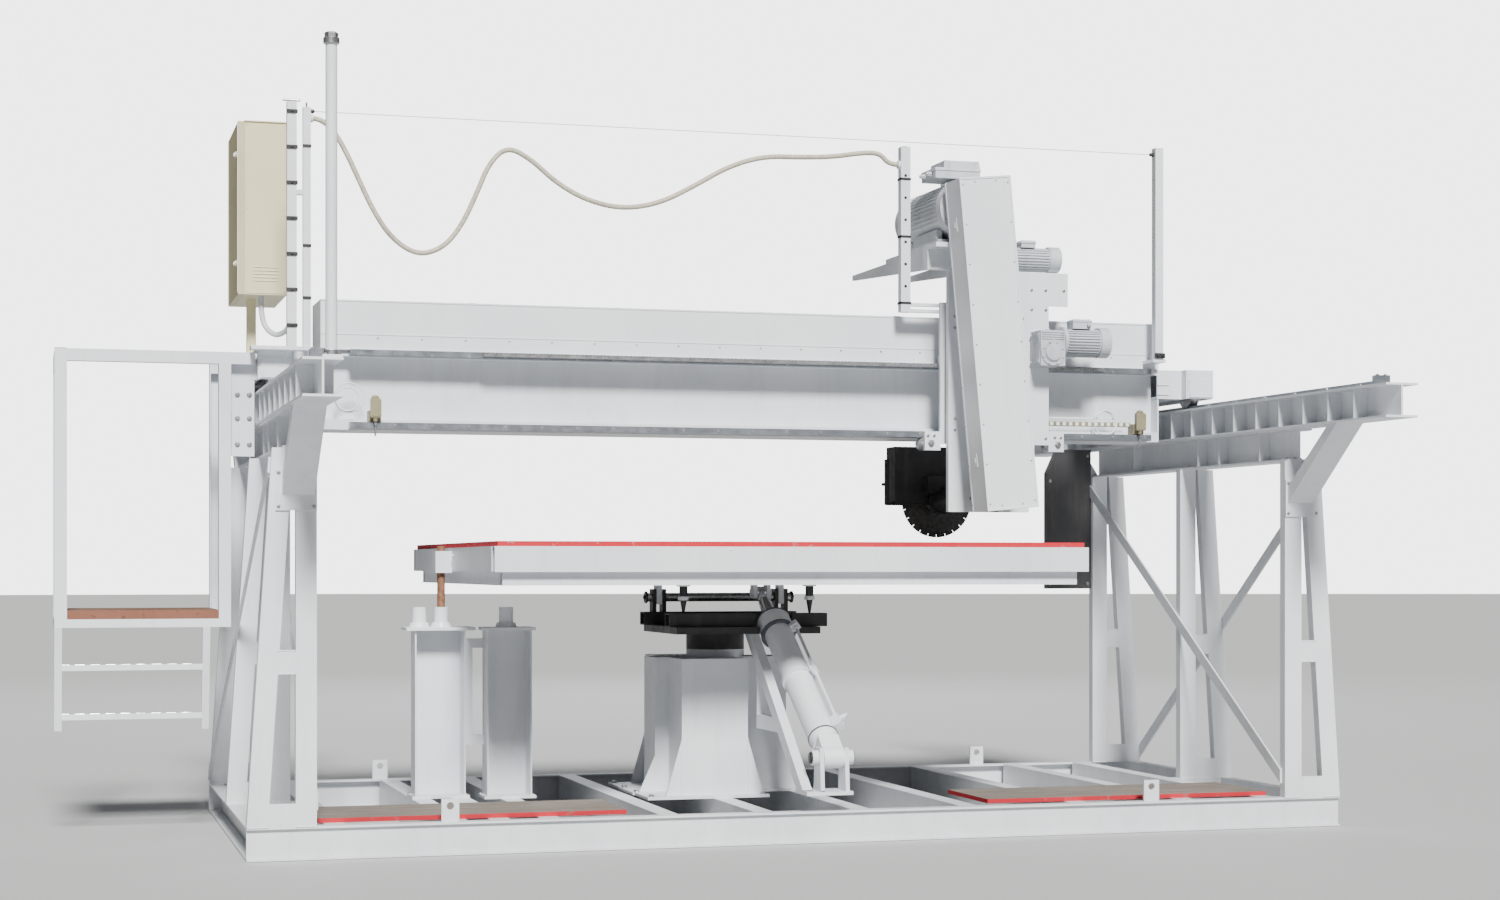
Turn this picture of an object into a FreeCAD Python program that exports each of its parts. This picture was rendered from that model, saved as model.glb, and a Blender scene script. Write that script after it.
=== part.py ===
"""Bridge saw for stone slabs: a welded frame, a travelling bridge with a blade carriage, and a turning,
tilting table.  Millimetres, +Z up, origin on the floor 71 mm to the left of the table's turning axis, +X
to the right along the bridge, +Y to the back."""

import FreeCAD
import Part
import Sketcher
import math
import os
import re

App = FreeCAD
Vector = App.Vector
doc = App.newDocument("bridge_saw")

# ---------------------------------------------------------------------------------------------------
# driving dimensions
# ---------------------------------------------------------------------------------------------------
SIZES = {
    # base frame and trestles; distances called "near" and "far" are from the plane between the trestles
    "mid": 265, "base_left": -2085, "base_right": 2615, "base_front": -1050, "base_back": 1030,
    "base_top": 130, "base_depth": 60, "base_recess": 16, "base_wall": 8, "member_width": 80,
    "column_far": 2350, "column_near": 2083, "leg_width": 80, "leg_depth": 45, "leg_wall": 5,
    "leg_lean": 96, "column_top": 1592, "middle_column": -40, "back_column": 957,
    "spacer_low": 720, "spacer_high": 810, "runway_far": 2154,
    "lower_half": 60, "runway_bottom": 1735, "runway_top": 1875, "runway_half": 72.5,
    "runway_end": 1880, "runway_web": 8, "runway_flange": 9, "stiffener_pitch": 210, "stiffener_first": -1620, "stiffener_wall": 6,
    "rail_half": 15, "rail_top": 1895, "rail_end": 1700, "stop_top": 1915,
    "brace_half": 62, "brace_low": 1410, "brace_reach": 415, "brace_wide": 70, "brace_gap": 8,
    "board_top": 148, "board_front": -930, "board_back": -460,
    # pedestal, index posts
    "box_left": -170, "box_right": 128, "pedestal_front": -330, "pedestal_back": 330, "pedestal_top": 732,
    "wing_left": -232, "wing_right": 374, "wing_depth": 100, "pedestal_wall": 10, "plate_top": 142,
    "gusset_foot": 70, "turn_x": 71, "disc_radius": 130, "disc_low": 765, "spigot_radius": 60, "spigot_top": 790,
    "post_one": -1175, "post_one_y": 20, "post_two": -888, "post_two_y": -70, "post_half_y": 60,
    "post_cap": 857, "post_top": 870, "socket_top": 957, "socket_bore": 18.5, "pin_radius": 17, "pin_x": -1163,
    # turntable, tilt hinge and cylinder
    "turn_low": 838, "turn_high": 868, "cross_top": 927, "cross_left": -203, "cross_right": 522,
    "turn_left": -185, "turn_right": 471, "turn_front": -300, "turn_back": 295,
    "jack_y": -200, "jack_left": -129, "jack_right": 452, "cross_half": 40,
    "hinge_y": 255, "hinge_z": 993, "hinge_radius": 20, "hinge_fit": 0.05,
    "ram_x": 275, "foot_y": -1050, "foot_z": 350, "head_y": -30, "head_z": 1018, "foot_pin": 20,
    "eye_pin": 15, "eye_slack": 1.5, "barrel_radius": 62, "barrel_bore": 50, "ram_radius": 30,
    "barrel_start": 90, "gland_start": 890, "gland_end": 985, "arm_left": 150,
    "arm_width": 40, "foot_inside": 45, "foot_outside": 62,
    # table
    "table_left": -1122, "table_right": 1425, "table_front": -1043, "table_back": 1080,
    "rim_low": 1112, "rim_high": 1214.5, "rim_width": 60, "slab_top": 1235, "slab_inset": 14,
    "under_low": 1058, "under_inset": 38, "under_width": 60, "under_wall": 5,
    # bridge
    "beam_left": -1693, "beam_right": 2223, "beam_front": -50, "beam_back": 230, "beam_low": 1720,
    "beam_top": 2060, "chord_low": 1765, "chord_high": 2035, "web_recess": 70, "beam_wall": 8,
    "cover_top": 2275, "cover_lip": 15, "cover_wall": 5, "guide_front": -112,
    "truck_half": 70, "truck_front": -100, "truck_back": 850, "truck_low": 1925, "truck_top": 2060,
    "truck_wall": 10, "axle_z": 1955, "axle_radius": 15, "axle_fit": 0.06, "wheel_radius": 60,
    "front_wheel": 10, "back_wheel": 740, "wheel_half": 23, "flange_high": 8, "tread_half": 17,
    "deck_left": -2785, "deck_right": -2070, "deck_front": -100, "deck_back": 450, "deck_low": 880,
    "deck_top": 915, "plank_top": 952, "hand_low": 1986, "hand_top": 2036, "post_wide": 50,
    "case_left": -2005, "case_right": -1795, "case_front": 350, "case_back": 900, "case_low": 2330,
    "case_top": 3090, "door_wall": 28, "wire_y": -160, "wire_z": 3055, "cable_start_z": 3026, "wire_radius": 2,
    # carriage
    "plate_left": 1075, "plate_right": 1605, "plate_front": -200, "plate_rear": -180,
    "plate_low": 1690, "plate_high": 2330, "roller_z": 1692, "roller_radius": 30,
    "roller_left": 1030, "roller_right": 1650, "stub_radius": 10,
    "pinion_x": 1575, "rack_module": 5, "pinion_teeth": 20, "rack_pitch_z": 2055, "rack_left": -1000,
    "rack_teeth": 186, "screw_x": 1330, "screw_y": -216, "screw_radius": 12,
    # head
    "slide_front": -262, "slide_rear": -232, "slide_left": 1090, "slide_right": 1480,
    "slide_low": 1380, "slide_high": 2470, "spindle_x": 1271, "spindle_z": 1447,
    "motor_x": 1152, "motor_z": 2740, "housing_radius": 62, "shaft_radius": 25,
    "motor_front": -350, "motor_back": 250, "motor_radius": 135, "foot_top": 2580,
    "pulley_radius": 75, "driven_radius": 50, "pulley_front": -545, "pulley_back": -425, "hood_width": 240,
    "hood_front": -570, "hood_back": -392, "hood_wall": 4, "hood_down": 60, "hood_up": 1405,
    "blade_y": 370, "blade_radius": 175, "blade_wall": 3.2, "blade_slots": 24,
}

sheet = doc.addObject("Spreadsheet::Sheet", "Sizes")
for row, (alias, value) in enumerate(SIZES.items(), start=1):
    sheet.set(f"A{row}", alias)
    sheet.set(f"B{row}", str(value))
    sheet.setAlias(f"B{row}", alias)
doc.recompute()


# ---------------------------------------------------------------------------------------------------
# helpers
# ---------------------------------------------------------------------------------------------------
def linked(expression):
    """The expression with every driving dimension's name pointing at its cell."""
    return re.sub(r"[a-z_]+", lambda m: "Sizes." + m[0] if m[0] in SIZES else m[0], str(expression))


def bind(item, **properties):
    for name, expression in properties.items():
        item.setExpression(name.replace("__", "."), linked(expression))
    return item


def placed(item, x, y, z, turn=App.Rotation()):
    item.Placement = App.Placement(Vector(), turn)
    bind(item, Placement__Base__x=x, Placement__Base__y=y, Placement__Base__z=z)
    return item


def block(x, y, z, name="block"):
    """A box between two places on each axis."""
    box = doc.addObject("Part::Box", name)
    bind(box, Length=f"({x[1]})-({x[0]})", Width=f"({y[1]})-({y[0]})", Height=f"({z[1]})-({z[0]})")
    return placed(box, x[0], y[0], z[0])


ALONG = {
    "x": App.Rotation(Vector(0, 1, 0), 90),
    "y": App.Rotation(Vector(1, 0, 0), -90),
    "z": App.Rotation(),
}


def centre_on(axis, centre, start):
    """Coordinates of the point where a round piece along an axis starts."""
    return {"x": (start, *centre), "y": (centre[0], start, centre[1]), "z": (*centre, start)}[axis]


def cylinder(axis, centre, span, radius, name="cylinder"):
    item = doc.addObject("Part::Cylinder", name)
    bind(item, Radius=radius, Height=f"({span[1]})-({span[0]})")
    return placed(item, *centre_on(axis, centre, span[0]), ALONG[axis])


def cone(axis, centre, span, low_radius, high_radius, name="cone"):
    item = doc.addObject("Part::Cone", name)
    bind(item, Radius1=low_radius, Radius2=high_radius, Height=f"({span[1]})-({span[0]})")
    return placed(item, *centre_on(axis, centre, span[0]), ALONG[axis])


def wedge(low_x, high_x, y, z, name="wedge"):
    """A straight piece that leans sideways or tapers from low_x at the bottom to high_x at the top."""
    item = doc.addObject("Part::Wedge", name)
    bind(item, Xmin=low_x[0], Xmax=low_x[1], X2min=high_x[0], X2max=high_x[1], Ymin=z[0], Ymax=z[1],
         Zmin=f"-({y[1]})", Zmax=f"-({y[0]})", Z2min=f"-({y[1]})", Z2max=f"-({y[0]})")
    item.Placement = App.Placement(Vector(), App.Rotation(Vector(1, 0, 0), 90))
    return item


def group(*pieces, name="group"):
    item = doc.addObject("Part::Compound", name)
    item.Links = list(pieces)
    return item


def cut(base, *tools, name="cut"):
    item = doc.addObject("Part::Cut", name)
    item.Base = base
    item.Tool = tools[0] if len(tools) == 1 else group(*tools, name="tools")
    return item


def fuse(*pieces, name="fused"):
    item = doc.addObject("Part::MultiFuse", name)
    item.Shapes = list(pieces)
    item.Refine = True
    return item


def hollow(x, y, z, wall, run, name="tube"):
    """A square tube that runs along one axis."""
    inner = [(f"({lo})+{wall}", f"({hi})-({wall})") for lo, hi in (x, y, z)]
    inner["xyz".index(run)] = (x, y, z)["xyz".index(run)]
    return cut(block(x, y, z), block(*inner), name=name)


def channel(x, y, z, wall, run, side, name="channel"):
    """A channel that runs along one axis and is open on one side, such as -y."""
    sign, axis = side
    inner = [(f"({lo})+{wall}", f"({hi})-({wall})") for lo, hi in (x, y, z)]
    inner["xyz".index(run)] = (x, y, z)["xyz".index(run)]
    number = "xyz".index(axis)
    low, high = (x, y, z)[number]
    inner[number] = (low, f"({high})-({wall})") if sign == "-" else (f"({low})+{wall}", high)
    return cut(block(x, y, z), block(*inner), name=name)


def sheets(x, y, z, wall, open_side):
    """The separate sheets of a case that is open on one side, such as -x."""
    box = (x, y, z)
    inner = [[f"({low})+{wall}", f"({high})-({wall})"] for low, high in box]
    inner["xyz".index(open_side[1])][open_side[0] == "+"] = box["xyz".index(open_side[1])][open_side[0] == "+"]
    pieces = []
    for number, axis in enumerate("xyz"):
        low, high = box[number]
        for sign, span in (("-", (low, f"({low})+{wall}")), ("+", (f"({high})-({wall})", high))):
            if sign + axis != open_side:
                pieces.append(block(*inner[:number], span, *box[number + 1:]))
    return pieces


def i_beam(centre_x, y, z, half, web, flange, name="i_beam"):
    """An I-section along Y with its web on centre_x."""
    sides = []
    for sign in (-1, 1):
        near, far = f"({centre_x})+{sign}*({web})/2", f"({centre_x})+{sign}*({half})"
        span = (near, far) if sign > 0 else (far, near)
        sides.append(block(span, y, (f"({z[0]})+{flange}", f"({z[1]})-({flange})")))
    whole = block((f"({centre_x})-({half})", f"({centre_x})+{half}"), y, z)
    return cut(whole, *sides, name=name)


def ring(axis, centre, span, radius, bore, name="ring"):
    return cut(cylinder(axis, centre, span, radius), cylinder(axis, centre, span, bore), name=name)


def beside(side, near, far):
    """A span measured outwards from the plane between the trestles, to the left or the right."""
    return (f"mid+{near}", f"mid+{far}") if side > 0 else (f"mid-({far})", f"mid-({near})")


PLANES = {"xy": "XY_Plane", "xz": "XZ_Plane", "yz": "YZ_Plane"}


def sketch_in(body, plane, loops, name):
    """A sketch of closed loops of straight lines, each corner held by its two bound coordinates."""
    sketch = body.newObject("Sketcher::SketchObject", name)
    for feature in body.Origin.OriginFeatures:
        if feature.Role == PLANES[plane]:
            sketch.AttachmentSupport = [(feature, "")]
    sketch.MapMode = "FlatFace"
    for points in loops:
        first = sketch.GeometryCount
        count = len(points)
        start = [Vector(50 * math.cos(6.28 * k / count), 50 * math.sin(6.28 * k / count), 0)
                 for k in range(count)]
        for k in range(count):
            sketch.addGeometry(Part.LineSegment(start[k], start[(k + 1) % count]), False)
        for k, (across, up) in enumerate(points):
            line, following = first + k, first + (k + 1) % count
            sketch.addConstraint(Sketcher.Constraint("Coincident", line, 2, following, 1))
            for kind, expression, place in (("DistanceX", across, start[k].x), ("DistanceY", up, start[k].y)):
                number = sketch.addConstraint(Sketcher.Constraint(kind, line, 1, place))
                sketch.setExpression(f"Constraints[{number}]", linked(expression))
    return sketch


def plate(plane, loops, span, name="plate"):
    """A body padded from a sketch on a plane, from one place to another along the plane's normal."""
    body = doc.addObject("PartDesign::Body", name)
    pad = body.newObject("PartDesign::Pad", name + "_pad")
    pad.Profile = sketch_in(body, plane, loops, name + "_outline")
    bind(pad, Length=f"({span[1]})-({span[0]})")
    if plane == "xz":
        bind(body, Placement__Base__y=span[1])
    elif plane == "yz":
        bind(body, Placement__Base__x=span[0])
    else:
        bind(body, Placement__Base__z=span[0])
    body.Tip = pad
    return body


def turned(profile, name="turned"):
    """A body turned about its own Z axis from a profile of radius and height."""
    body = doc.addObject("PartDesign::Body", name)
    turn = body.newObject("PartDesign::Revolution", name + "_turn")
    sketch = sketch_in(body, "xz", [profile], name + "_profile")
    turn.Profile = sketch
    turn.ReferenceAxis = (sketch, ["V_Axis"])
    turn.Angle = 360
    body.Tip = turn
    return body


def set_at(item, axis, x, y, z):
    return placed(item, x, y, z, ALONG[axis])


NODES = []


def node(name, *pieces):
    """A finished sub-part under its own label, of one piece or of several separate solids."""
    item = pieces[0] if len(pieces) == 1 else group(*pieces, name=name)
    item.Label = name
    NODES.append(item)
    return item


# ---------------------------------------------------------------------------------------------------
# base, trestles and runways
# ---------------------------------------------------------------------------------------------------
def side_rail(low, web_low, web_high, high):
    """A rail along X with its web near the outer side."""
    x, between = ("base_left", "base_right"), ("base_wall", "base_top-base_wall")
    return cut(block(x, (low, high), (0, "base_top")), block(x, (low, web_low), between),
               block(x, (web_high, high), between), name="side_rail")


def base_frame():
    inside = ("base_front+base_depth", "base_back-base_depth")
    pieces = [
        side_rail("base_front", "base_front+base_recess", "base_front+base_recess+base_wall",
                  "base_front+base_depth"),
        side_rail("base_back-base_depth", "base_back-base_recess-base_wall", "base_back-base_recess",
                  "base_back"),
        channel(("base_left", "base_left+base_depth"), inside, (0, "base_top"), "base_wall", "y", "-x"),
        channel(("base_right-base_depth", "base_right"), inside, (0, "base_top"), "base_wall", "y", "+x"),
    ]
    for centre in (-1740, -1260, -1090, -888, -400, 0, 420, 900, 1400, 1900, 2280):
        x = (f"{centre}-member_width/2", f"{centre}+member_width/2")
        pieces.append(hollow(x, inside, (0, "base_top"), 6, "y"))
    for side in (-1, 1):
        x = beside(side, 2055, "column_far-base_depth")
        pieces.append(hollow(x, ("middle_column-10", "middle_column+60"), (0, "base_top"), 6, "x"))
    for x in (-1295, 1725):
        for y in ("base_front+24", "base_back-36"):
            lug = block((f"{x}-35", f"{x}+35"), (y, f"{y}+12"), ("base_top", "base_top+90"))
            pieces.append(cut(lug, cylinder("y", (x, "base_top+62"), (y, f"{y}+12"), 15), name="lug"))
    node("base_frame", *pieces)


def columns():
    pieces = []
    for side in (-1, 1):
        for front in ("base_front", "middle_column", "back_column"):
            y = (front, f"{front}+leg_depth")
            hollow_y = (f"{front}+leg_wall", f"{front}+leg_depth")
            z = ("base_top", "column_top")
            pieces.append(channel(beside(side, "column_near", "column_near+leg_width"), y, z,
                                  "leg_wall", "z", "+y"))
            foot = beside(side, "column_far-leg_width", "column_far")
            head = beside(side, "column_far-leg_width-leg_lean", "column_far-leg_lean")
            inner_foot = (f"{foot[0]}+leg_wall", f"{foot[1]}-leg_wall")
            inner_head = (f"{head[0]}+leg_wall", f"{head[1]}-leg_wall")
            pieces.append(cut(wedge(foot, head, y, z), wedge(inner_foot, inner_head, hollow_y, z)))
            for low, high in (("base_top", 220), ("spacer_low", "spacer_high")):
                # between the upright leg and the leaning one, which has moved in by this much
                inward_low = f"leg_lean*(({low})-base_top)/(column_top-base_top)"
                inward_high = f"leg_lean*(({high})-base_top)/(column_top-base_top)"
                bottom = beside(side, "column_near+leg_width", f"column_far-leg_width-{inward_low}")
                top = beside(side, "column_near+leg_width", f"column_far-leg_width-{inward_high}")
                pieces.append(wedge(bottom, top, (front, f"{front}+8"), (low, high)))
    node("columns", *pieces)


LEG_ANGLE = math.degrees(math.atan2(SIZES["leg_lean"], SIZES["column_top"] - SIZES["base_top"]))


def runways():
    beams, rails, braces, crosses = [], [], [], []
    for side in (-1, 1):
        centre = f"mid+{side}*runway_far"
        beams.append(i_beam(centre, ("base_front", "base_back"), ("column_top", "runway_bottom"),
                            "lower_half", "runway_web", "runway_flange"))
        beams.append(i_beam(centre, ("-runway_end", "runway_end"), ("runway_bottom", "runway_top"),
                            "runway_half", "runway_web", "runway_flange"))
        for flank in (-1, 1):
            for k in range(16):
                y = f"stiffener_first+{k}*stiffener_pitch"
                near = f"{centre}+{flank}*runway_web/2"
                far = f"{centre}+{flank}*(runway_half-4)"
                x = (near, far) if flank > 0 else (far, near)
                beams.append(block(x, (y, f"{y}+stiffener_wall"),
                                   ("runway_bottom+runway_flange", "runway_top-runway_flange")))
            for y in (-790, -400, -190, 500):
                near = f"{centre}+{flank}*runway_web/2"
                far = f"{centre}+{flank}*(lower_half-4)"
                x = (near, far) if flank > 0 else (far, near)
                beams.append(block(x, (y, f"{y}+stiffener_wall"),
                                   ("column_top+runway_flange", "runway_bottom-runway_flange")))
        rails.append(block((f"{centre}-rail_half", f"{centre}+rail_half"), ("-rail_end", "rail_end"),
                           ("runway_top", "rail_top")))
        for end in (-1, 1):
            y = ("rail_end", "rail_end+40") if end > 0 else ("-rail_end-40", "-rail_end")
            rails.append(block((f"{centre}-30", f"{centre}+30"), y, ("runway_top", "stop_top")))
        x = (f"{centre}-brace_half", f"{centre}+brace_half")
        for end, root in ((-1, "base_front"), (1, "back_column+leg_depth")):
            face = f"({root})+{end}*brace_gap"
            corners = [
                (face, "brace_low"),
                (f"{face}+{end}*brace_reach", "runway_bottom"),
                (f"{face}+{end}*(brace_reach-brace_wide)", "runway_bottom"),
                (face, "brace_low+brace_wide"),
            ]
            braces.append(plate("yz", [corners], x, name="knee_brace"))
            pad = (face, root) if end < 0 else (root, face)
            braces.append(block(beside(side, "column_near", "column_far-leg_lean-12"), pad,
                                ("brace_low-60", "brace_low+100")))
        for front_z, back_z in ((190, 1490), (1500, 145)):
            corners = [("base_front+30", front_z), ("back_column+20", back_z),
                       ("back_column+20", f"{back_z}+60"), ("base_front+30", f"{front_z}+60")]
            crosses.append(plate("yz", [corners], beside(side, "column_near-8", "column_near"),
                                 name="cross_brace"))
        # the second brace lies against the outer sides of the leaning legs
        outer = crosses[-1]
        outer.Placement.Rotation = App.Rotation(Vector(0, 1, 0), -side * LEG_ANGLE)
        foot = "leg_lean*base_top/(column_top-base_top)"
        bind(outer, Placement__Base__x=f"mid+{side}*(column_far+{foot}+{0.2 if side > 0 else 8.2})")
    node("runway_beams", *beams)
    node("runway_rails", *rails)
    node("trestle_braces", *braces, *crosses)


def floor_boards():
    left = block((-1800, -560), ("board_front", "board_back"), ("base_top", "board_top"))
    right = block((1010, 2320), ("board_front", "board_back"), ("base_top", "board_top"))
    node("floor_boards", left, right)


def splash_panel():
    outline = [(2102, 1020), (2348, 1020), (2348, 1732), (2160, 1732), (2102, 1610)]
    inner = [(2106, 1024), (2344, 1024), (2344, 1728), (2162.5, 1728), (2106, 1609)]
    face = plate("xz", [outline], (980, 984), name="panel_face")
    rim = plate("xz", [outline, inner], (984, 1014), name="panel_rim")
    node("splash_panel", fuse(face, rim))


def pedestal():
    box_x, wing_x = ("box_left", "box_right"), ("wing_left", "wing_right")
    wall, low, high = "pedestal_wall", "plate_top", "pedestal_top"

    def cross_shape(inset, top):
        return fuse(block((f"{box_x[0]}+{inset}", f"{box_x[1]}-{inset}"),
                          (f"pedestal_front+{inset}", f"pedestal_back-{inset}"), (low, top)),
                    block((f"{wing_x[0]}+{inset}", f"{wing_x[1]}-{inset}"),
                          (f"-wing_depth+{inset}", f"wing_depth-{inset}"), (low, top)))

    pieces = [
        cut(cross_shape(0, high), cross_shape(wall, f"{high}-{wall}"), name="pedestal_box"),
        block(("box_left-166", "box_right+81"), ("pedestal_front-60", -140), ("base_top", low)),
        block(("wing_left-110", "wing_right+110"), (-140, 140), ("base_top", low)),
        block(("box_left-166", "box_right+81"), (140, "pedestal_back+40"), ("base_top", low)),
    ]
    for side, box_edge, wing_edge in ((-1, "box_left", "wing_left"), (1, "box_right", "wing_right")):
        for root, y, top in ((box_edge, "pedestal_front", 385), (wing_edge, "-wing_depth", 300),
                             (box_edge, "pedestal_back-8", 385)):
            corners = [(root, low), (f"{root}+{side}*gusset_foot", low), (root, top)]
            pieces.append(plate("xz", [corners], (y, f"{y}+8"), name="gusset"))
    pieces.append(cylinder("z", ("turn_x", 0), (high, "disc_low"), "disc_radius"))
    pieces.append(cylinder("z", ("turn_x", 0), ("disc_low", "spigot_top"), "spigot_radius"))
    node("pedestal", *pieces)


def index_posts():
    pieces = []
    for x, y, half, cap in (("post_one", "post_one_y", 110, 150), ("post_two", "post_two_y", 98, 112)):
        pieces.append(block((f"{x}-{half}-15", f"{x}+{half}+15"), (f"{y}-post_half_y-20",
                      f"{y}+post_half_y+20"), ("base_top", "base_top+12")))
        z = ("base_top+12", "post_cap")
        pieces.append(block((f"{x}-{half}", f"{x}+{half}"), (f"{y}+post_half_y-6", f"{y}+post_half_y"), z))
        for edge in (f"{x}-{half}", f"{x}+{half}-6"):
            pieces.append(block((edge, f"{edge}+6"), (f"{y}-post_half_y", f"{y}+post_half_y-6"), z))
        pieces.append(block((f"{x}-{cap}", f"{x}+{cap}"), (f"{y}-post_half_y-20", f"{y}+post_half_y+20"),
                            ("post_cap", "post_top")))
    inner, outer = "post_one+110", "post_two-98"
    for low in (360, 780):
        pieces.append(block((inner, outer), (-40, 0), (low, f"{low}+40")))
    pieces.append(block((inner, f"{inner}+30"), (-40, 0), (400, 780)))
    node("index_posts", *pieces)
    sockets = []
    for x, y in (("pin_x", "post_one_y"), ("pin_x-96", "post_one_y"), ("post_two-5", "post_two_y")):
        hub = fuse(cone("z", (x, y), ("post_top", "post_top+20"), 47, 40),
                   cylinder("z", (x, y), ("post_top", "socket_top"), 31))
        sockets.append(cut(hub, cylinder("z", (x, y), ("post_top+2", "socket_top"), "socket_bore")))
    node("index_sockets", *sockets)


def supply_post():
    x, y = -1854, -1830
    node("supply_post", ring("z", (x, y), ("runway_top+10", 3030), 21, 18),
         block((f"{x}-36", f"{x}+36"), (f"{y}-45", f"{y}+45"), ("runway_top", "runway_top+10")))


# ---------------------------------------------------------------------------------------------------
# turntable, table and tilt cylinder
# ---------------------------------------------------------------------------------------------------
def turntable():
    hub = ring("z", ("turn_x", 0), ("disc_low+0.5", "turn_low"), "disc_radius", "spigot_radius+0.06")
    slab = block(("turn_left", "turn_right"), ("turn_front", "turn_back"), ("turn_low", "turn_high"))
    slot = block(("ram_x-83", "ram_x+83"), ("turn_front", -100), ("turn_low", "turn_high"))
    pieces = [hub, cut(slab, slot, name="turn_plate")]
    beam_z = ("turn_high", "cross_top")
    front = ("jack_y-cross_half", "jack_y+cross_half")
    back = ("hinge_y-cross_half", "hinge_y+cross_half")
    pieces.append(hollow(("cross_left", "ram_x-83"), front, beam_z, 5, "x"))
    pieces.append(hollow(("ram_x+83", "cross_right"), front, beam_z, 5, "x"))
    pieces.append(hollow(("cross_left", "cross_right"), back, beam_z, 5, "x"))
    for x in ("jack_left", "jack_right"):
        for low, high in ((-32, -14), (14, 32)):
            cheek = block((f"{x}+({low})", f"{x}+{high}" if high > 0 else f"{x}+({high})"),
                          ("hinge_y-30", "hinge_y+30"), ("cross_top", "hinge_z+38"))
            bore = cylinder("x", ("hinge_y", "hinge_z"), (f"{x}-40", f"{x}+40"), "hinge_radius")
            pieces.append(cut(cheek, bore, name="hinge_post"))
    node("turntable_frame", *pieces)
    node("hinge_shaft", cylinder("x", ("hinge_y", "hinge_z"), ("jack_left-52", "jack_right+52"),
                                 "hinge_radius"))


def cylinder_arm():
    corners = [(-297, "turn_low"), (-203, "turn_low"), (-963, 215), (-1057, 215)]
    pieces = [plate("yz", [corners], ("arm_left", "arm_left+arm_width"), name="arm"),
              block(("arm_left", "ram_x+foot_outside+12"), (-1110, -950), (200, 215))]
    for side in (-1, 1):
        near, far = f"ram_x+{side}*foot_inside", f"ram_x+{side}*foot_outside"
        span = (near, far) if side > 0 else (far, near)
        ear = plate("yz", [[(-1100, 215), (-1000, 215), (-1015, 392), (-1085, 392)]], span, name="foot_ear")
        pieces.append(cut(ear, cylinder("x", ("foot_y", "foot_z"), span, "foot_pin")))
        cap = (far, f"{far}+26") if side > 0 else (f"{far}-26", far)
        pieces.append(cylinder("x", ("foot_y", "foot_z"), cap, 31))
    pieces.append(cylinder("x", ("foot_y", "foot_z"), ("ram_x-foot_outside", "ram_x+foot_outside"), "foot_pin"))
    strap = [(-400, 430), (-388, 430), (-388, 686), (-400, 676)]
    rung = [(-400, 432), (-697.5, 432), (-624.5, 492), (-400, 492)]
    for outline, name in ((strap, "strap"), (rung, "rung")):
        pieces.append(plate("yz", [outline], ("arm_left", "arm_left+arm_width"), name=name))
    node("cylinder_arm", *pieces)


RAM_LEAN = math.degrees(math.atan2(SIZES["head_y"] - SIZES["foot_y"], SIZES["head_z"] - SIZES["foot_z"]))
RAM_TURN = App.Rotation(Vector(1, 0, 0), -RAM_LEAN)
RAM_LENGTH = math.hypot(SIZES["head_y"] - SIZES["foot_y"], SIZES["head_z"] - SIZES["foot_z"])


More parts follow.
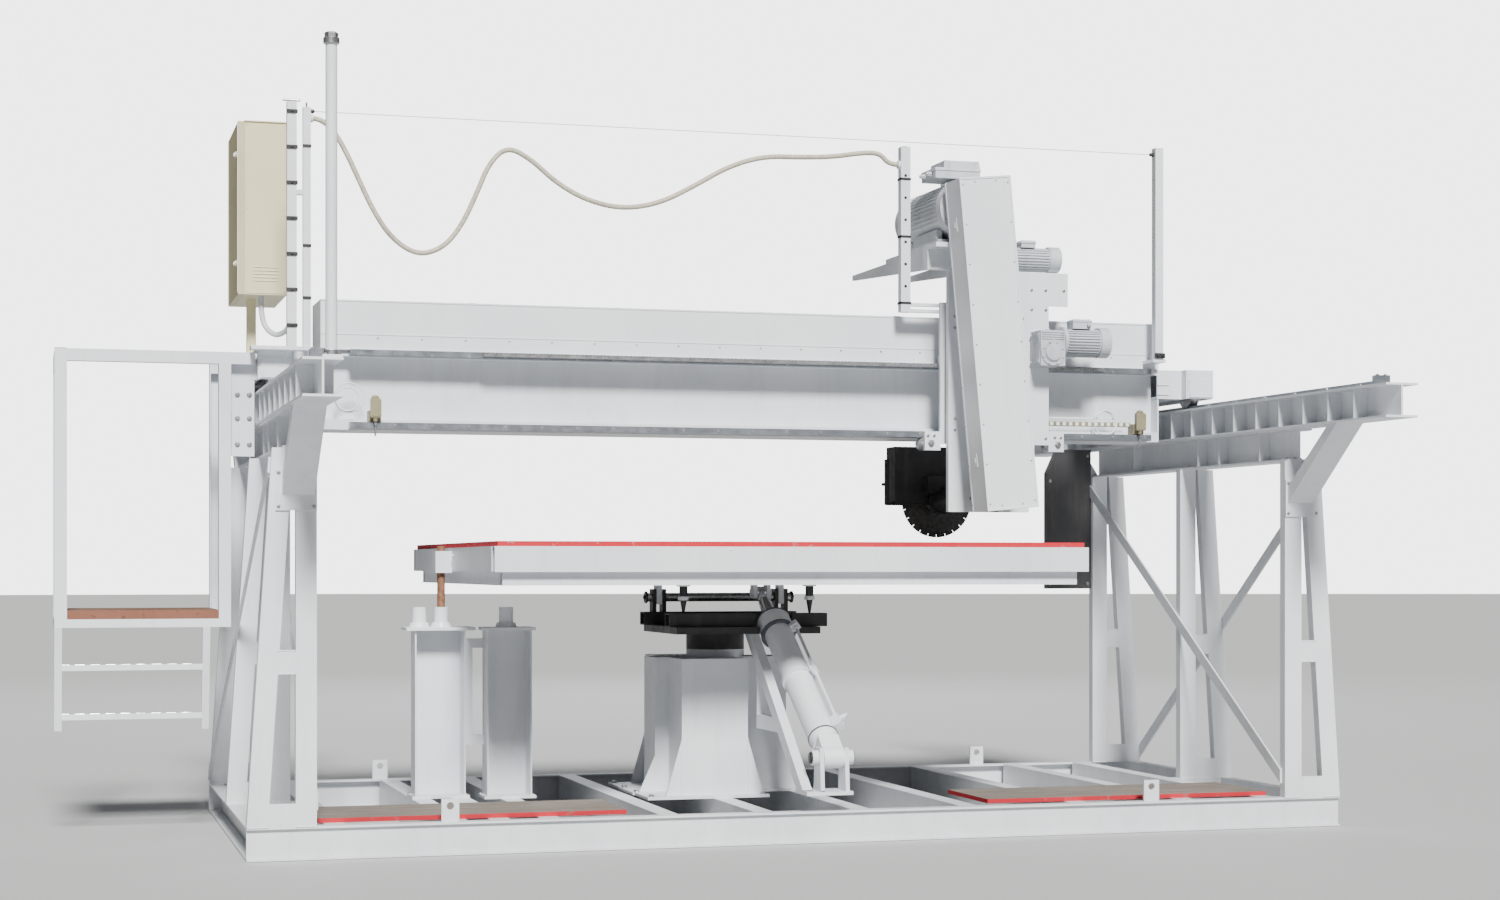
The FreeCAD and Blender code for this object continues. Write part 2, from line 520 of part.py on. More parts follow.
def cylinder_pieces():
    tube = turned([("barrel_bore", 130), ("barrel_radius", 130), ("barrel_radius", "gland_start"),
                   (75, "gland_start"), (75, "gland_end"), ("ram_radius+0.1", "gland_end"),
                   ("ram_radius+0.1", "gland_start"), ("barrel_bore", "gland_start")], name="barrel")
    placed(tube, "ram_x", "foot_y", "foot_z", RAM_TURN)
    tail = turned([(0, "barrel_start"), (54, "barrel_start"), ("barrel_radius", 130), (0, 130)], name="tail")
    placed(tail, "ram_x", "foot_y", "foot_z", RAM_TURN)
    eye_x = ("ram_x-foot_inside+1", "ram_x+foot_inside-1")
    eye = fuse(cylinder("x", ("foot_y", "foot_z"), eye_x, 45),
               plate("yz", [[("foot_y-8", "foot_z+44"), ("foot_y+44", "foot_z-10"), ("foot_y+98", "foot_z+20"),
                             ("foot_y+48", "foot_z+92")]], eye_x, name="neck"))
    ream = cylinder("x", ("foot_y", "foot_z"), eye_x, "foot_pin+hinge_fit")
    clear = turned([(0, "barrel_start"), (90, "barrel_start"), (90, 300), (0, 300)], name="clear")
    placed(clear, "ram_x", "foot_y", "foot_z", RAM_TURN)
    node("cylinder_barrel", tube, tail, cut(eye, ream, clear, name="barrel_eye"))

    rod = turned([(0, 300), ("barrel_bore-0.1", 300), ("barrel_bore-0.1", 350), ("ram_radius", 350),
                  ("ram_radius", RAM_LENGTH - 80), (19.5, RAM_LENGTH - 80), (19.5, RAM_LENGTH - 5),
                  (0, RAM_LENGTH - 5)], name="rod")
    placed(rod, "ram_x", "foot_y", "foot_z", RAM_TURN)
    lug_x = ("ram_x-20", "ram_x+20")
    lug = fuse(rod, cylinder("x", ("head_y", "head_z"), lug_x, 26))
    node("cylinder_rod", cut(lug, cylinder("x", ("head_y", "head_z"), ("ram_x-40", "ram_x+40"),
                                           "eye_pin+eye_slack"), name="rod_eye"))

    # oil pipe and its connection blocks, in the barrel's own frame
    pipe = cylinder("z", ("barrel_radius+22", 0), (200, 865), 7)
    block_low = block(("barrel_radius-1", "barrel_radius+38"), (-20, 20), (138, 200))
    block_high = block(("barrel_radius-1", "barrel_radius+38"), (-20, 20), (865, 889))
    band = ring("z", (0, 0), (530, 550), "barrel_radius+9", "barrel_radius")
    lug = block(("barrel_radius+9", "barrel_radius+15"), (-34, 34), (515, 565))
    round_out = cylinder("z", (0, 0), (132, 889), "barrel_radius")
    piping = group(pipe, cut(group(block_low, block_high), round_out), band, lug, name="cylinder_piping")
    placed(piping, "ram_x", "foot_y", "foot_z", RAM_TURN * App.Rotation(Vector(0, 0, 1), -40))
    piping.Label = "cylinder_piping"
    NODES.append(piping)


def table():
    left, right, front, back = "table_left", "table_right", "table_front", "table_back"
    rim_z, inside = ("rim_low", "rim_high"), (f"{front}+rim_width", f"{back}-rim_width")
    pieces = [
        hollow((left, right), (front, f"{front}+rim_width"), rim_z, 5, "x"),
        hollow((left, right), (f"{back}-rim_width", back), rim_z, 5, "x"),
        hollow((left, f"{left}+rim_width"), inside, rim_z, 5, "y"),
        hollow((f"{right}-rim_width", right), inside, rim_z, 5, "y"),
    ]
    low = ("under_low", "rim_low")
    x_in, y_in = (f"{left}+under_inset", f"{right}-under_inset"), (f"{front}+under_inset", f"{back}-under_inset")
    between = (f"{y_in[0]}+under_width", f"{y_in[1]}-under_width")
    pieces.append(hollow(x_in, (y_in[0], between[0]), low, "under_wall", "x"))
    pieces.append(hollow(x_in, (between[1], y_in[1]), low, "under_wall", "x"))
    for centre in (f"{x_in[0]}+30", -640, "jack_left", "jack_right", 960, f"{x_in[1]}-30"):
        pieces.append(hollow((f"{centre}-30", f"{centre}+30"), between, low, "under_wall", "y"))
    pieces.append(hollow(("jack_left+30", "jack_right-30"), ("head_y-30", "head_y+30"), low,
                         "under_wall", "x"))
    for x in ("jack_left", "jack_right"):
        knuckle = block((f"{x}-13", f"{x}+13"), ("hinge_y-28", "hinge_y+28"), ("hinge_z-32", "under_low"))
        bore = cylinder("x", ("hinge_y", "hinge_z"), (f"{x}-13", f"{x}+13"), "hinge_radius+hinge_fit")
        pieces.append(cut(knuckle, bore, name="knuckle"))
    for low_x, high_x in (("ram_x-40", "ram_x-22"), ("ram_x+22", "ram_x+40")):
        ear = block((low_x, high_x), ("head_y-28", "head_y+28"), ("head_z-26", "under_low"))
        pieces.append(cut(ear, cylinder("x", ("head_y", "head_z"), (low_x, high_x), "eye_pin")))
    pieces.append(cylinder("x", ("head_y", "head_z"), ("ram_x-48", "ram_x+48"), "eye_pin"))
    guide = block(("pin_x-30", left), ("post_one_y-40", "post_one_y+40"), ("rim_low-6", "rim_high-14"))
    pieces.append(cut(guide, cylinder("z", ("pin_x", "post_one_y"), ("rim_low-6", "rim_high-14"),
                                      "pin_radius+axle_fit")))
    node("table_frame", *pieces)
    node("table_board", block((f"{left}+slab_inset", f"{right}-slab_inset"),
                              (f"{front}+slab_inset", f"{back}-slab_inset"), ("rim_high", "slab_top")))
    jacks = []
    for x in ("jack_left", "jack_right"):
        jacks.append(fuse(cylinder("z", (x, "jack_y"), (985, "under_low"), 18),
                          cone("z", (x, "jack_y"), ("cross_top+0.5", 985), 5, 15)))
    node("jack_screws", *jacks)
    node("lock_pin", cylinder("z", ("pin_x", "post_one_y"), ("socket_top+1", 1222), "pin_radius"))


# ---------------------------------------------------------------------------------------------------
# bridge
# ---------------------------------------------------------------------------------------------------
def bridge():
    x = ("beam_left", "beam_right")
    y = ("beam_front", "beam_back")
    outer = block(x, y, ("beam_low", "beam_top"))
    web = ("beam_front+web_recess", "beam_back-web_recess")
    node("bridge_beam", cut(
        outer,
        block(x, ("beam_front", web[0]), ("chord_low", "chord_high")),
        block(x, (web[1], "beam_back"), ("chord_low", "chord_high")),
        block(x, (f"{web[0]}+beam_wall", f"{web[1]}-beam_wall"), ("beam_low+12", "beam_top-12")),
        name="beam"))
    lip = ("beam_front-cover_lip", "beam_back+cover_lip")
    shell = block(x, lip, ("beam_top", "cover_top"))
    space = block(("beam_left+cover_wall", "beam_right-cover_wall"), (f"{lip[0]}+cover_wall",
                  f"{lip[1]}-cover_wall"), ("beam_top", "cover_top-cover_wall"))
    node("bridge_cover", cut(shell, space, name="cover"))
    node("guide_rails",
         block(("beam_left+120", "beam_right-60"), ("guide_front", "beam_front"), ("chord_high", "beam_top")),
         block(("beam_left+120", "beam_right-60"), ("guide_front", "beam_front"),
               ("roller_z+roller_radius+0.3", "chord_low-15")))


def rack_and_pinion():
    """Straight-sided teeth, thin enough to leave backlash, cut to the same pitch on both pieces."""
    module, teeth = SIZES["rack_module"], SIZES["pinion_teeth"]
    pitch = math.pi * module
    pitch_radius = module * teeth / 2
    pitch_z, addendum, dedendum = SIZES["rack_pitch_z"], 0.7 * module, 0.95 * module
    root_half, tip_half = 0.24 * pitch, 0.11 * pitch
    first = SIZES["pinion_x"] - pitch / 2
    first -= pitch * round((first - SIZES["rack_left"]) / pitch)
    points = [Vector(first - pitch / 2, 0, pitch_z - 3 * dedendum)]
    points.append(Vector(first - pitch / 2, 0, pitch_z - dedendum))
    for k in range(SIZES["rack_teeth"]):
        middle = first + k * pitch
        for offset, height in ((-root_half, -dedendum), (-tip_half, addendum), (tip_half, addendum),
                               (root_half, -dedendum)):
            points.append(Vector(middle + offset, 0, pitch_z + height))
    last = first + (SIZES["rack_teeth"] - 0.5) * pitch
    points += [Vector(last, 0, pitch_z - dedendum), Vector(last, 0, pitch_z - 3 * dedendum)]
    face = Part.Face(Part.makePolygon(points + points[:1]))
    rack = doc.addObject("Part::Feature", "rack")
    rack.Shape = face.extrude(Vector(0, 26, 0))
    rack.Placement = App.Placement(Vector(0, SIZES["guide_front"] - 26, 0), App.Rotation())
    node("drive_rack", rack)

    outline = []
    for k in range(teeth):
        turn = 2 * math.pi * k / teeth - math.pi / 2
        for half, radius in ((-root_half, pitch_radius - dedendum), (-tip_half, pitch_radius + addendum),
                             (tip_half, pitch_radius + addendum), (root_half, pitch_radius - dedendum)):
            angle = turn + half / pitch_radius
            outline.append(Vector(radius * math.cos(angle), 0, radius * math.sin(angle)))
    wheel = Part.Face(Part.makePolygon(outline + outline[:1])).extrude(Vector(0, 24, 0))
    centre = Vector(SIZES["pinion_x"], SIZES["guide_front"] - 25, pitch_z + pitch_radius)
    wheel.translate(centre)
    shaft = Part.makeCylinder(14, 92, Vector(centre.x, SIZES["plate_front"] - 28, centre.z), Vector(0, 1, 0))
    pinion = doc.addObject("Part::Feature", "pinion")
    pinion.Shape = wheel.fuse(shaft).removeSplitter()
    node("drive_pinion", pinion)


def trucks():
    pieces = []
    for side in (-1, 1):
        x = beside(side, "runway_far-truck_half", "runway_far+truck_half")
        body = cut(block(x, ("truck_front", "truck_back"), ("truck_low", "truck_top")),
                   block((f"{x[0]}+truck_wall", f"{x[1]}-truck_wall"), ("truck_front+truck_wall",
                         "truck_back-truck_wall"), ("truck_low", "truck_top-truck_wall")),
                   *[cylinder("x", (y, "axle_z"), x, "axle_radius+axle_fit")
                     for y in ("front_wheel", "back_wheel")], name="truck")
        pieces.append(body)
        inner = ("beam_right", x[0]) if side > 0 else (x[1], "beam_left")
        pieces.append(hollow(inner, ("beam_front", "beam_back"), ("truck_low", "beam_top"), 10, "x"))
    node("end_trucks", *pieces)

    def wheel(side, y):
        centre = f"mid+{side}*runway_far"
        tread = cylinder("x", (y, "axle_z"), (f"{centre}-wheel_half", f"{centre}+wheel_half"), "wheel_radius")
        rims = [cylinder("x", (y, "axle_z"), (f"{centre}+({low})", f"{centre}+({high})"),
                         "wheel_radius+flange_high")
                for low, high in (("-wheel_half", "-tread_half"), ("tread_half", "wheel_half"))]
        return [tread, *rims]

    for side, name in ((-1, "idle_wheel_left"), (1, "idle_wheel_right")):
        axle = cylinder("x", ("front_wheel", "axle_z"),
                        beside(side, "runway_far-truck_half-8", "runway_far+truck_half+8"), "axle_radius")
        node(name, fuse(*wheel(side, "front_wheel"), axle))
    shaft = cylinder("x", ("back_wheel", "axle_z"), beside(1, "-runway_far-truck_half-8",
                                                           "runway_far+truck_half+8"), "axle_radius")
    node("drive_axle", fuse(*wheel(-1, "back_wheel"), *wheel(1, "back_wheel"), shaft))
    gear_x = ("mid+runway_far-truck_half-130", "mid+runway_far-truck_half")
    case = cut(block(gear_x, ("back_wheel-60", "back_wheel+60"), ("axle_z-55", "axle_z+115")),
               cylinder("x", ("back_wheel", "axle_z"), gear_x, "axle_radius+axle_fit"), name="gear_case")
    motor = cylinder("y", (f"{gear_x[0]}+62", "axle_z+50"), ("back_wheel-300", "back_wheel-60"), 58)
    node("bridge_gearmotor", case, motor)


def platform():
    left, right, front, back = "deck_left", "deck_right", "deck_front", "deck_back"
    truck_side = "mid-runway_far-truck_half"
    # the hanger plate stands clear of the runway beam, and reaches the truck only above it
    clear_of_beam = "mid-runway_far-runway_half-8"
    hanger_y = (f"{front}+50", f"{front}+60")
    pieces = [
        block((left, clear_of_beam), (front, f"{front}+50"), ("hand_low", "hand_top")),
        cut(block(("base_left+20", truck_side), hanger_y, (1600, "hand_top")),
            block((clear_of_beam, truck_side), hanger_y, (1600, "truck_low")), name="hanger"),
        block((f"{right}-post_wide", truck_side), (back, f"{back}+50"), ("hand_low", "hand_top")),
    ]
    for y in (front, back):
        for x in (left, f"{right}-post_wide"):
            pieces.append(channel((x, f"{x}+post_wide"), (y, f"{y}+50"), ("deck_top", "hand_low"), 5, "z",
                                  "+y" if y == front else "-y"))
        pieces.append(block((left, right), (y, f"{y}+50"), ("deck_low", "deck_top")))
    for x in (left, f"{right}-post_wide"):
        span = (x, f"{x}+post_wide")
        pieces.append(block(span, (f"{front}+50", back), ("deck_low", "deck_top")))
    pieces.append(block((left, f"{left}+50"), (f"{front}+50", back), ("hand_low", "hand_top")))
    for x in (left, f"{right}-115"):
        corners = [(f"{front}", "deck_low"), (f"{front}+30", "deck_low"), (f"{front}+130", 447),
                   (f"{front}+100", 447)]
        pieces.append(plate("yz", [corners], (x, f"{x}+30"), name="stringer"))
    for low, offset in ((700, 43), (493, 90)):
        pieces.append(block((f"{left}+30", f"{right}-115"), (f"{front}+{offset}", f"{front}+{offset}+28"),
                            (low, f"{low}+24")))
    node("platform_frame", *pieces)
    node("platform_floor", block((f"{left}+post_wide", f"{right}-post_wide"), (front, f"{back}+50"),
                                 ("deck_top", "plank_top")))


def cabinet():
    inner = ("case_left+door_wall", "case_right")
    depth, height = ("case_front", "case_back"), ("case_low", "case_top")
    stand = hollow(("case_left+56", "case_left+96"), (560, 600), ("truck_top", "case_low"), 4, "z")
    hinges = [cylinder("z", ("case_left+door_wall-8", "case_back+8"), (f"case_low+{low}", f"case_low+{low}+60"),
                       7) for low in (120, 580)]
    leaves = [block(("case_left+door_wall", "case_left+door_wall+40"), ("case_back", "case_back+5"),
                    (f"case_low+{low}", f"case_low+{low}+60")) for low in (120, 580)]
    node("cabinet_body", *sheets(inner, depth, height, 4, "-x"), stand, *leaves)
    locks = [cylinder("x", ("case_front+60", f"case_low+{up}"), ("case_left-8", "case_left"), 16)
             for up in (140, 620)]
    node("cabinet_door", *sheets(("case_left", "case_left+door_wall-0.5"), depth, height, 3, "+x"),
         *locks, *hinges)


def cable_supports():
    """The channel mast and the slim mast at the left, the post at the right, and the wire between them."""
    y = ("wire_y-20", "wire_y+20")
    slim = ("wire_y-16", "wire_y+16")
    masts = [
        block(("mid-runway_far+truck_half-175", "mid-runway_far+truck_half+85"), ("wire_y-20", "truck_front"),
              ("truck_top-15", "truck_top")),
        channel((-1845, -1805), y, ("truck_top", 3090), 4, "z", "+y"),
        hollow((-1778, -1746), slim, ("truck_top", "wire_z+15"), 3, "z"),
        ring("x", ("wire_y", "cable_start_z"), (-1746, -1736), 18, 11.5),
        block((-1805, -1778), slim, (2700, 2720)),
        hollow((2152, 2192), y, (2100, "wire_z+30"), 4, "z"),
        block((2140, 2204), ("wire_y-20", "beam_front-cover_lip"), (2085, 2100)),
        cylinder("x", ("wire_y", "wire_z"), (-1746, 2152), "wire_radius"),
    ]
    node("cable_masts", *masts)


def limit_switches():
    bodies = []
    for x in (-1468, 2098):
        bodies.append(block((f"{x}-26", f"{x}+26"), ("beam_front-60", "beam_front"), (1752, 1800)))
        bodies.append(block((f"{x}-20", f"{x}+20"), ("beam_front-90", "beam_front-60"), (1768, 1850)))
        bodies.append(cone("z", (x, "beam_front-75"), (1752, 1768), 8, 13))
    bodies.append(block((1660, 2072), ("beam_front-26", "beam_front"), (1788, 1808)))
    node("limit_switches", *bodies)
    for name, x in (("switch_lever_left", -1468), ("switch_lever_right", 2098)):
        node(name, fuse(cylinder("z", (x, "beam_front-75"), (1690, 1742), 4),
                        cylinder("y", (x, 1742), ("beam_front-85", "beam_front-65"), 6)))


# ---------------------------------------------------------------------------------------------------
# carriage
# ---------------------------------------------------------------------------------------------------
def carriage():
    y = ("plate_front", "plate_rear")
    pitch_radius = "rack_module*pinion_teeth/2"
    pinion_z = f"rack_pitch_z+{pitch_radius}"
    face = block(("plate_left", "plate_right"), y, ("plate_low", "plate_high"))
    pieces = [cut(face, cylinder("y", ("pinion_x", pinion_z), y, 16), name="face_plate")]
    for x, low, high in (("roller_left", "roller_left-30", "plate_left"),
                         ("roller_right", "plate_right", "roller_right+30")):
        pieces.append(block((low, high), y, (1660, 1745)))
        pieces.append(cylinder("y", (x, "roller_z"), ("plate_rear", "guide_front+44"), "stub_radius"))
    for x in (1150, 1400):
        pieces.append(block((f"{x}-40", f"{x}+40"), ("plate_rear", -68), ("beam_top+0.3", "beam_top+40")))
    pieces.append(block((1290, 1700), y, ("plate_high", 2470)))
    pieces.append(block((1290, 1700), ("plate_front", -60), (2470, 2480)))
    pieces += [block((x, x + 40), (-230, "plate_front"), (1700, 2325)) for x in (1130, 1400)]
    node("carriage_plate", *pieces)
    for name, x in (("roller_left", "roller_left"), ("roller_right", "roller_right")):
        tyre = ring("y", (x, "roller_z"), ("guide_front+2", "guide_front+38"), "roller_radius",
                    "stub_radius+axle_fit")
        node(name, tyre)

    mast = hollow((893, 938), ("wire_y-20", "wire_y+20"), (2284, 3030), 4, "z")
    holes = [cylinder("y", (915, z), ("wire_y-20", "wire_y+20"), 7) for z in range(2400, 3000, 100)]
    clamp = ring("x", ("wire_y", 2950), (883, 893), 18, 11.5)
    arms = [block((938, 1150), ("plate_rear", "plate_rear+30"), (low, f"{low}+14")) for low in (2284, 2312)]
    node("cable_mast", cut(mast, *holes, name="mast"), clamp, *arms)

    case = block(("pinion_x-60", "pinion_x+60"), ("plate_front-120", "plate_front"), (2046, 2206))
    seat = cylinder("y", ("pinion_x", pinion_z), ("plate_front-28.5", "plate_front"), "14+axle_fit")
    nose = cylinder("y", ("pinion_x", pinion_z), ("plate_front-128", "plate_front-120"), 42)
    node("worm_gearbox", cut(case, seat), nose)
    motor_y, motor_z = "plate_front-60", 2159
    node("travel_motor",
         cylinder("x", (motor_y, motor_z), ("pinion_x+60", "pinion_x+74"), 70),
         cylinder("x", (motor_y, motor_z), ("pinion_x+74", "pinion_x+240"), 60),
         cylinder("x", (motor_y, motor_z), ("pinion_x+240", "pinion_x+290"), 66),
         block(("pinion_x+110", "pinion_x+200"), (f"{motor_y}-35", f"{motor_y}+35"), (2219, 2258)))

    shelf = 2480
    box = block((1290, 1425), (-225, -95), (shelf, 2600))
    node("lift_gearmotor", box, cylinder("x", (-160, 2545), (1425, 1440), 60),
         cylinder("x", (-160, 2545), (1440, 1610), 52), cylinder("x", (-160, 2545), (1610, 1665), 57),
         block((1470, 1540), (-200, -120), (2594, 2622)))
    node("lift_screw", cylinder("z", ("screw_x", "screw_y"), (1750, 2460), "screw_radius"))


# ---------------------------------------------------------------------------------------------------
# head: motor, belt drive, spindle, blade
# ---------------------------------------------------------------------------------------------------
BELT_LEAN = math.degrees(math.atan2(SIZES["spindle_x"] - SIZES["motor_x"],
                                    SIZES["motor_z"] - SIZES["spindle_z"]))
BELT_TURN = App.Rotation(Vector(0, 1, 0), -BELT_LEAN)
BELT_RUN = math.hypot(SIZES["spindle_x"] - SIZES["motor_x"], SIZES["motor_z"] - SIZES["spindle_z"])


GROOVE_DEPTH, GROOVE_WIDTH, GROOVE_PITCH, FIRST_GROOVE = 9, 18, 34, 14


def pulley(radius, name):
    """A pulley with three grooves, turned about its own Z axis."""
    profile = [(21, "pulley_front"), (radius, "pulley_front")]
    for k in range(3):
        low = f"pulley_front+{FIRST_GROOVE + GROOVE_PITCH * k}"
        high = f"{low}+{GROOVE_WIDTH}"
        profile += [(radius, low), (f"{radius}-{GROOVE_DEPTH}", low), (f"{radius}-{GROOVE_DEPTH}", high),
                    (radius, high)]
    return turned(profile + [(radius, "pulley_back"), (21, "pulley_back")], name=name)


def head():
    x, y = ("slide_left", "slide_right"), ("slide_front", "slide_rear")
    face = block(x, y, ("slide_low", "slide_high"))
    bore = cylinder("y", ("spindle_x", "spindle_z"), y, "housing_radius")
    pieces = [cut(face, bore, name="slide_face")]
    for guide in (1130, 1400):
        for low, high in ((guide - 18, guide - 0.3), (guide + 40.3, guide + 58)):
            for z in (1720, 2180):
                pieces.append(block((low, high), ("slide_rear", -203), (z, z + 110)))
    nut = block(("screw_x-30", "screw_x+30"), ("slide_rear", -202), (1900, 1960))
    pieces.append(cut(nut, cylinder("z", ("screw_x", "screw_y"), (1900, 1960), "screw_radius+axle_fit")))
    node("slide_plate", *pieces)

    low = "slide_high"
    arm_y = ("slide_front", 790)
    shelf = [block((990, 1280), ("motor_front-20", 300), ("foot_top-20", "foot_top")),
             block((990, 1280), y, (low, "foot_top-20"))]
    for arm_x in (990, 1268):
        corners = [("slide_rear", low), (arm_y[1], "foot_top-45"), (arm_y[1], "foot_top-20"),
                   ("slide_rear", "foot_top-20")]
        shelf.append(plate("yz", [corners], (arm_x, arm_x + 12), name="motor_arm"))
    node("motor_platform", *shelf)

    centre = ("motor_x", "motor_z")
    feet = [block((f"motor_x+{low_x}", f"motor_x+{high_x}"), (-290, 90), ("foot_top", "foot_top+24"))
            for low_x, high_x in (("(-125)", "(-75)"), (75, 125))]
    bosses = [block((f"motor_x+{low_x}", f"motor_x+{high_x}"), (-250, 50), ("foot_top+24", "foot_top+70"))
              for low_x, high_x in (("(-118)", "(-88)"), (88, 118))]
    stator = cut(fuse(cylinder("y", centre, ("motor_front+60", 150), "motor_radius-8"),
                      cylinder("y", centre, ("motor_front", "motor_front+60"), "motor_radius"),
                      cylinder("y", centre, (150, "motor_back"), "motor_radius"), *bosses, *feet),
                 cylinder("y", centre, ("motor_front", "motor_front+80"), "axle_radius+6+axle_fit"),
                 name="stator")
    lid = block(("motor_x-138", "motor_x+76"), (-300, -120), ("motor_z+motor_radius+3", 2925))
    node("main_motor", stator, lid)

    rotor = set_at(pulley("pulley_radius", "motor_wheel"), "y", "motor_x", 0, "motor_z")
    driver = cylinder("y", centre, ("pulley_front-6", "motor_front+79.5"), "axle_radius+6")
    node("motor_pulley", rotor, driver)

    shaft = turned([(0, "pulley_front-6"), (21, "pulley_front-6"), (21, "pulley_back"),
                    ("shaft_radius", "pulley_back"), ("shaft_radius", "blade_y-20"), (55, "blade_y-20"),
                    (55, "blade_y-blade_wall/2"), (20, "blade_y-blade_wall/2"), (20, "blade_y+42"),
                    (0, "blade_y+42")], name="shaft")
    set_at(shaft, "y", "spindle_x", 0, "spindle_z")
    wheel = set_at(pulley("driven_radius", "spindle_wheel"), "y", "spindle_x", 0, "spindle_z")
    clamp = ring("y", ("spindle_x", "spindle_z"), ("blade_y+blade_wall/2", "blade_y+16"), 55, 20)
    nut = ring("y", ("spindle_x", "spindle_z"), ("blade_y+16", "blade_y+38"), 28, 20)
    node("spindle_shaft", shaft, wheel, clamp, nut)

    housing = turned([("shaft_radius+12", -380), ("housing_radius", -380), ("housing_radius", 300),
                      ("shaft_radius+12", 300)], name="housing")
    set_at(housing, "y", "spindle_x", 0, "spindle_z")
    bearings = [ring("y", ("spindle_x", "spindle_z"), (low, low + 24), "shaft_radius+12",
                     "shaft_radius+axle_fit") for low in (-376, 272)]
    node("spindle_housing", housing, *bearings)
    blade()
    belt_drive()
    blade_guard()


def blade():
    """A steel disc whose rim is parted into segments by narrow slots."""
    body = doc.addObject("PartDesign::Body", "disc")
    pad = body.newObject("PartDesign::Revolution", "disc_turn")
    rim = [(20, 0), ("blade_radius", 0), ("blade_radius", "blade_wall"), (20, "blade_wall")]
    sketch = sketch_in(body, "xz", [rim], "disc_profile")
    pad.Profile = sketch
    pad.ReferenceAxis = (sketch, ["V_Axis"])
    pad.Angle = 360
    slot = body.newObject("PartDesign::Pocket", "slot")
    loop = [(-2, "blade_radius-14"), (2, "blade_radius-14"), (2, "blade_radius+5"), (-2, "blade_radius+5")]
    slot.Profile = sketch_in(body, "xy", [loop], "slot_outline")
    slot.Type = "ThroughAll"
    slot.Midplane = True
    body.Tip = slot
    doc.recompute()
    pattern = body.newObject("PartDesign::PolarPattern", "slots")
    pattern.Originals = [slot]
    pattern.Axis = (slot.Profile[0], ["N_Axis"])
    pattern.Angle = 360
    bind(pattern, Occurrences="blade_slots")
    body.Tip = pattern
    set_at(body, "y", "spindle_x", "blade_y-blade_wall/2", "spindle_z")
    node("saw_blade", body)


def belt_loop(offset):
    """The outline of an open belt round the driven pulley below and the motor's pulley above."""
    low, high = SIZES["driven_radius"] + offset, SIZES["pulley_radius"] + offset
    lean = math.asin((high - low) / BELT_RUN)
    across, down = math.cos(lean), math.sin(lean)
    low_right, high_right = Vector(low * across, 0, -low * down), Vector(high * across, 0,
                                                                         BELT_RUN - high * down)
    low_left, high_left = (Vector(-p.x, 0, p.z) for p in (low_right, high_right))
    edges = (Part.LineSegment(low_right, high_right), Part.Arc(high_right, Vector(0, 0, BELT_RUN + high),
             high_left), Part.LineSegment(high_left, low_left), Part.Arc(low_left, Vector(0, 0, -low),
                                                                         low_right))
    return Part.Wire([edge.toShape() for edge in edges])


def belt_drive():
    half, low, high = "hood_width/2", "-hood_down", "hood_up"
    wall = "hood_wall"
    outline = [(f"-{half}", low), (half, low), (half, high), (f"-{half}", high)]
    inner = [(f"-{half}+{wall}", f"{low}+{wall}"), (f"{half}-{wall}", f"{low}+{wall}"),
             (f"{half}-{wall}", f"{high}-{wall}"), (f"-{half}+{wall}", f"{high}-{wall}")]

    def leaning(item, y):
        return placed(item, "spindle_x", y, "spindle_z", BELT_TURN)

    face = leaning(plate("xz", [outline], ("hood_front", f"hood_front+{wall}"), name="hood_face"),
                   f"hood_front+{wall}")
    sides = leaning(plate("xz", [outline, inner], (f"hood_front+{wall}", "hood_back"), name="hood_sides"),
                    "hood_back")
    node("belt_cover", fuse(face, sides))
    shield = leaning(plate("xz", [outline], ("hood_back", "hood_back+6"), name="shield"), "hood_back+6")
    holes = [cylinder("y", centre, ("hood_back-2", "hood_back+10"), radius)
             for centre, radius in ((("spindle_x", "spindle_z"), 40), (("motor_x", "motor_z"), 60))]
    struts = [block((low_x, low_x + 24), ("hood_back+6", "slide_front"), (z, z + 60))
              for low_x, z in ((1190, 1620), (1300, 1620), (1130, 2300), (1240, 2300))]
    node("belt_backplate", cut(shield, *holes, name="shield_plate"), *struts)

    belts = []
    for k in range(3):
        middle = SIZES["pulley_front"] + FIRST_GROOVE + GROOVE_PITCH * k + GROOVE_WIDTH / 2
        loops = [belt_loop(thickness - GROOVE_DEPTH + 0.3) for thickness in (9, 0)]
        band = Part.Face(loops[0]).cut(Part.Face(loops[1])).extrude(Vector(0, 13, 0))
        belt = doc.addObject("Part::Feature", "belt")
        belt.Shape = band
        belt.Placement = App.Placement(Vector(SIZES["spindle_x"], middle - 6.5, SIZES["spindle_z"]), BELT_TURN)
        belts.append(belt)
    node("drive_belts", *belts)


def blade_guard():
    x, y, z = (1040, 1462), (310, 430), (1425, 1700)
    shell = sheets(x, y, z, 4, "-z")
    # the sheet towards the spindle is parted round the shaft
    shell.pop(2)
    sheet_y = (y[0], y[0] + 4)
    shell += [block((x[0] + 4, "spindle_x-58"), sheet_y, z), block(("spindle_x+58", x[1] - 4), sheet_y, z),
              block(("spindle_x-58", "spindle_x+58"), sheet_y, ("spindle_z+58", z[1]))]
    neck = cut(block((1180, 1362), (240, 310), ("spindle_z+30", 1560)),
               cylinder("y", ("spindle_x", "spindle_z"), (240, 310), "housing_radius"), name="neck")
    bar = [block((1000, 1018), (330, 348), (1425, 1640)), block((1018, 1040), (330, 348), (1425, 1440)),
           block((985, 1000), (332, 346), (1515, 1529))]
    node("blade_guard", *shell, neck, *bar)


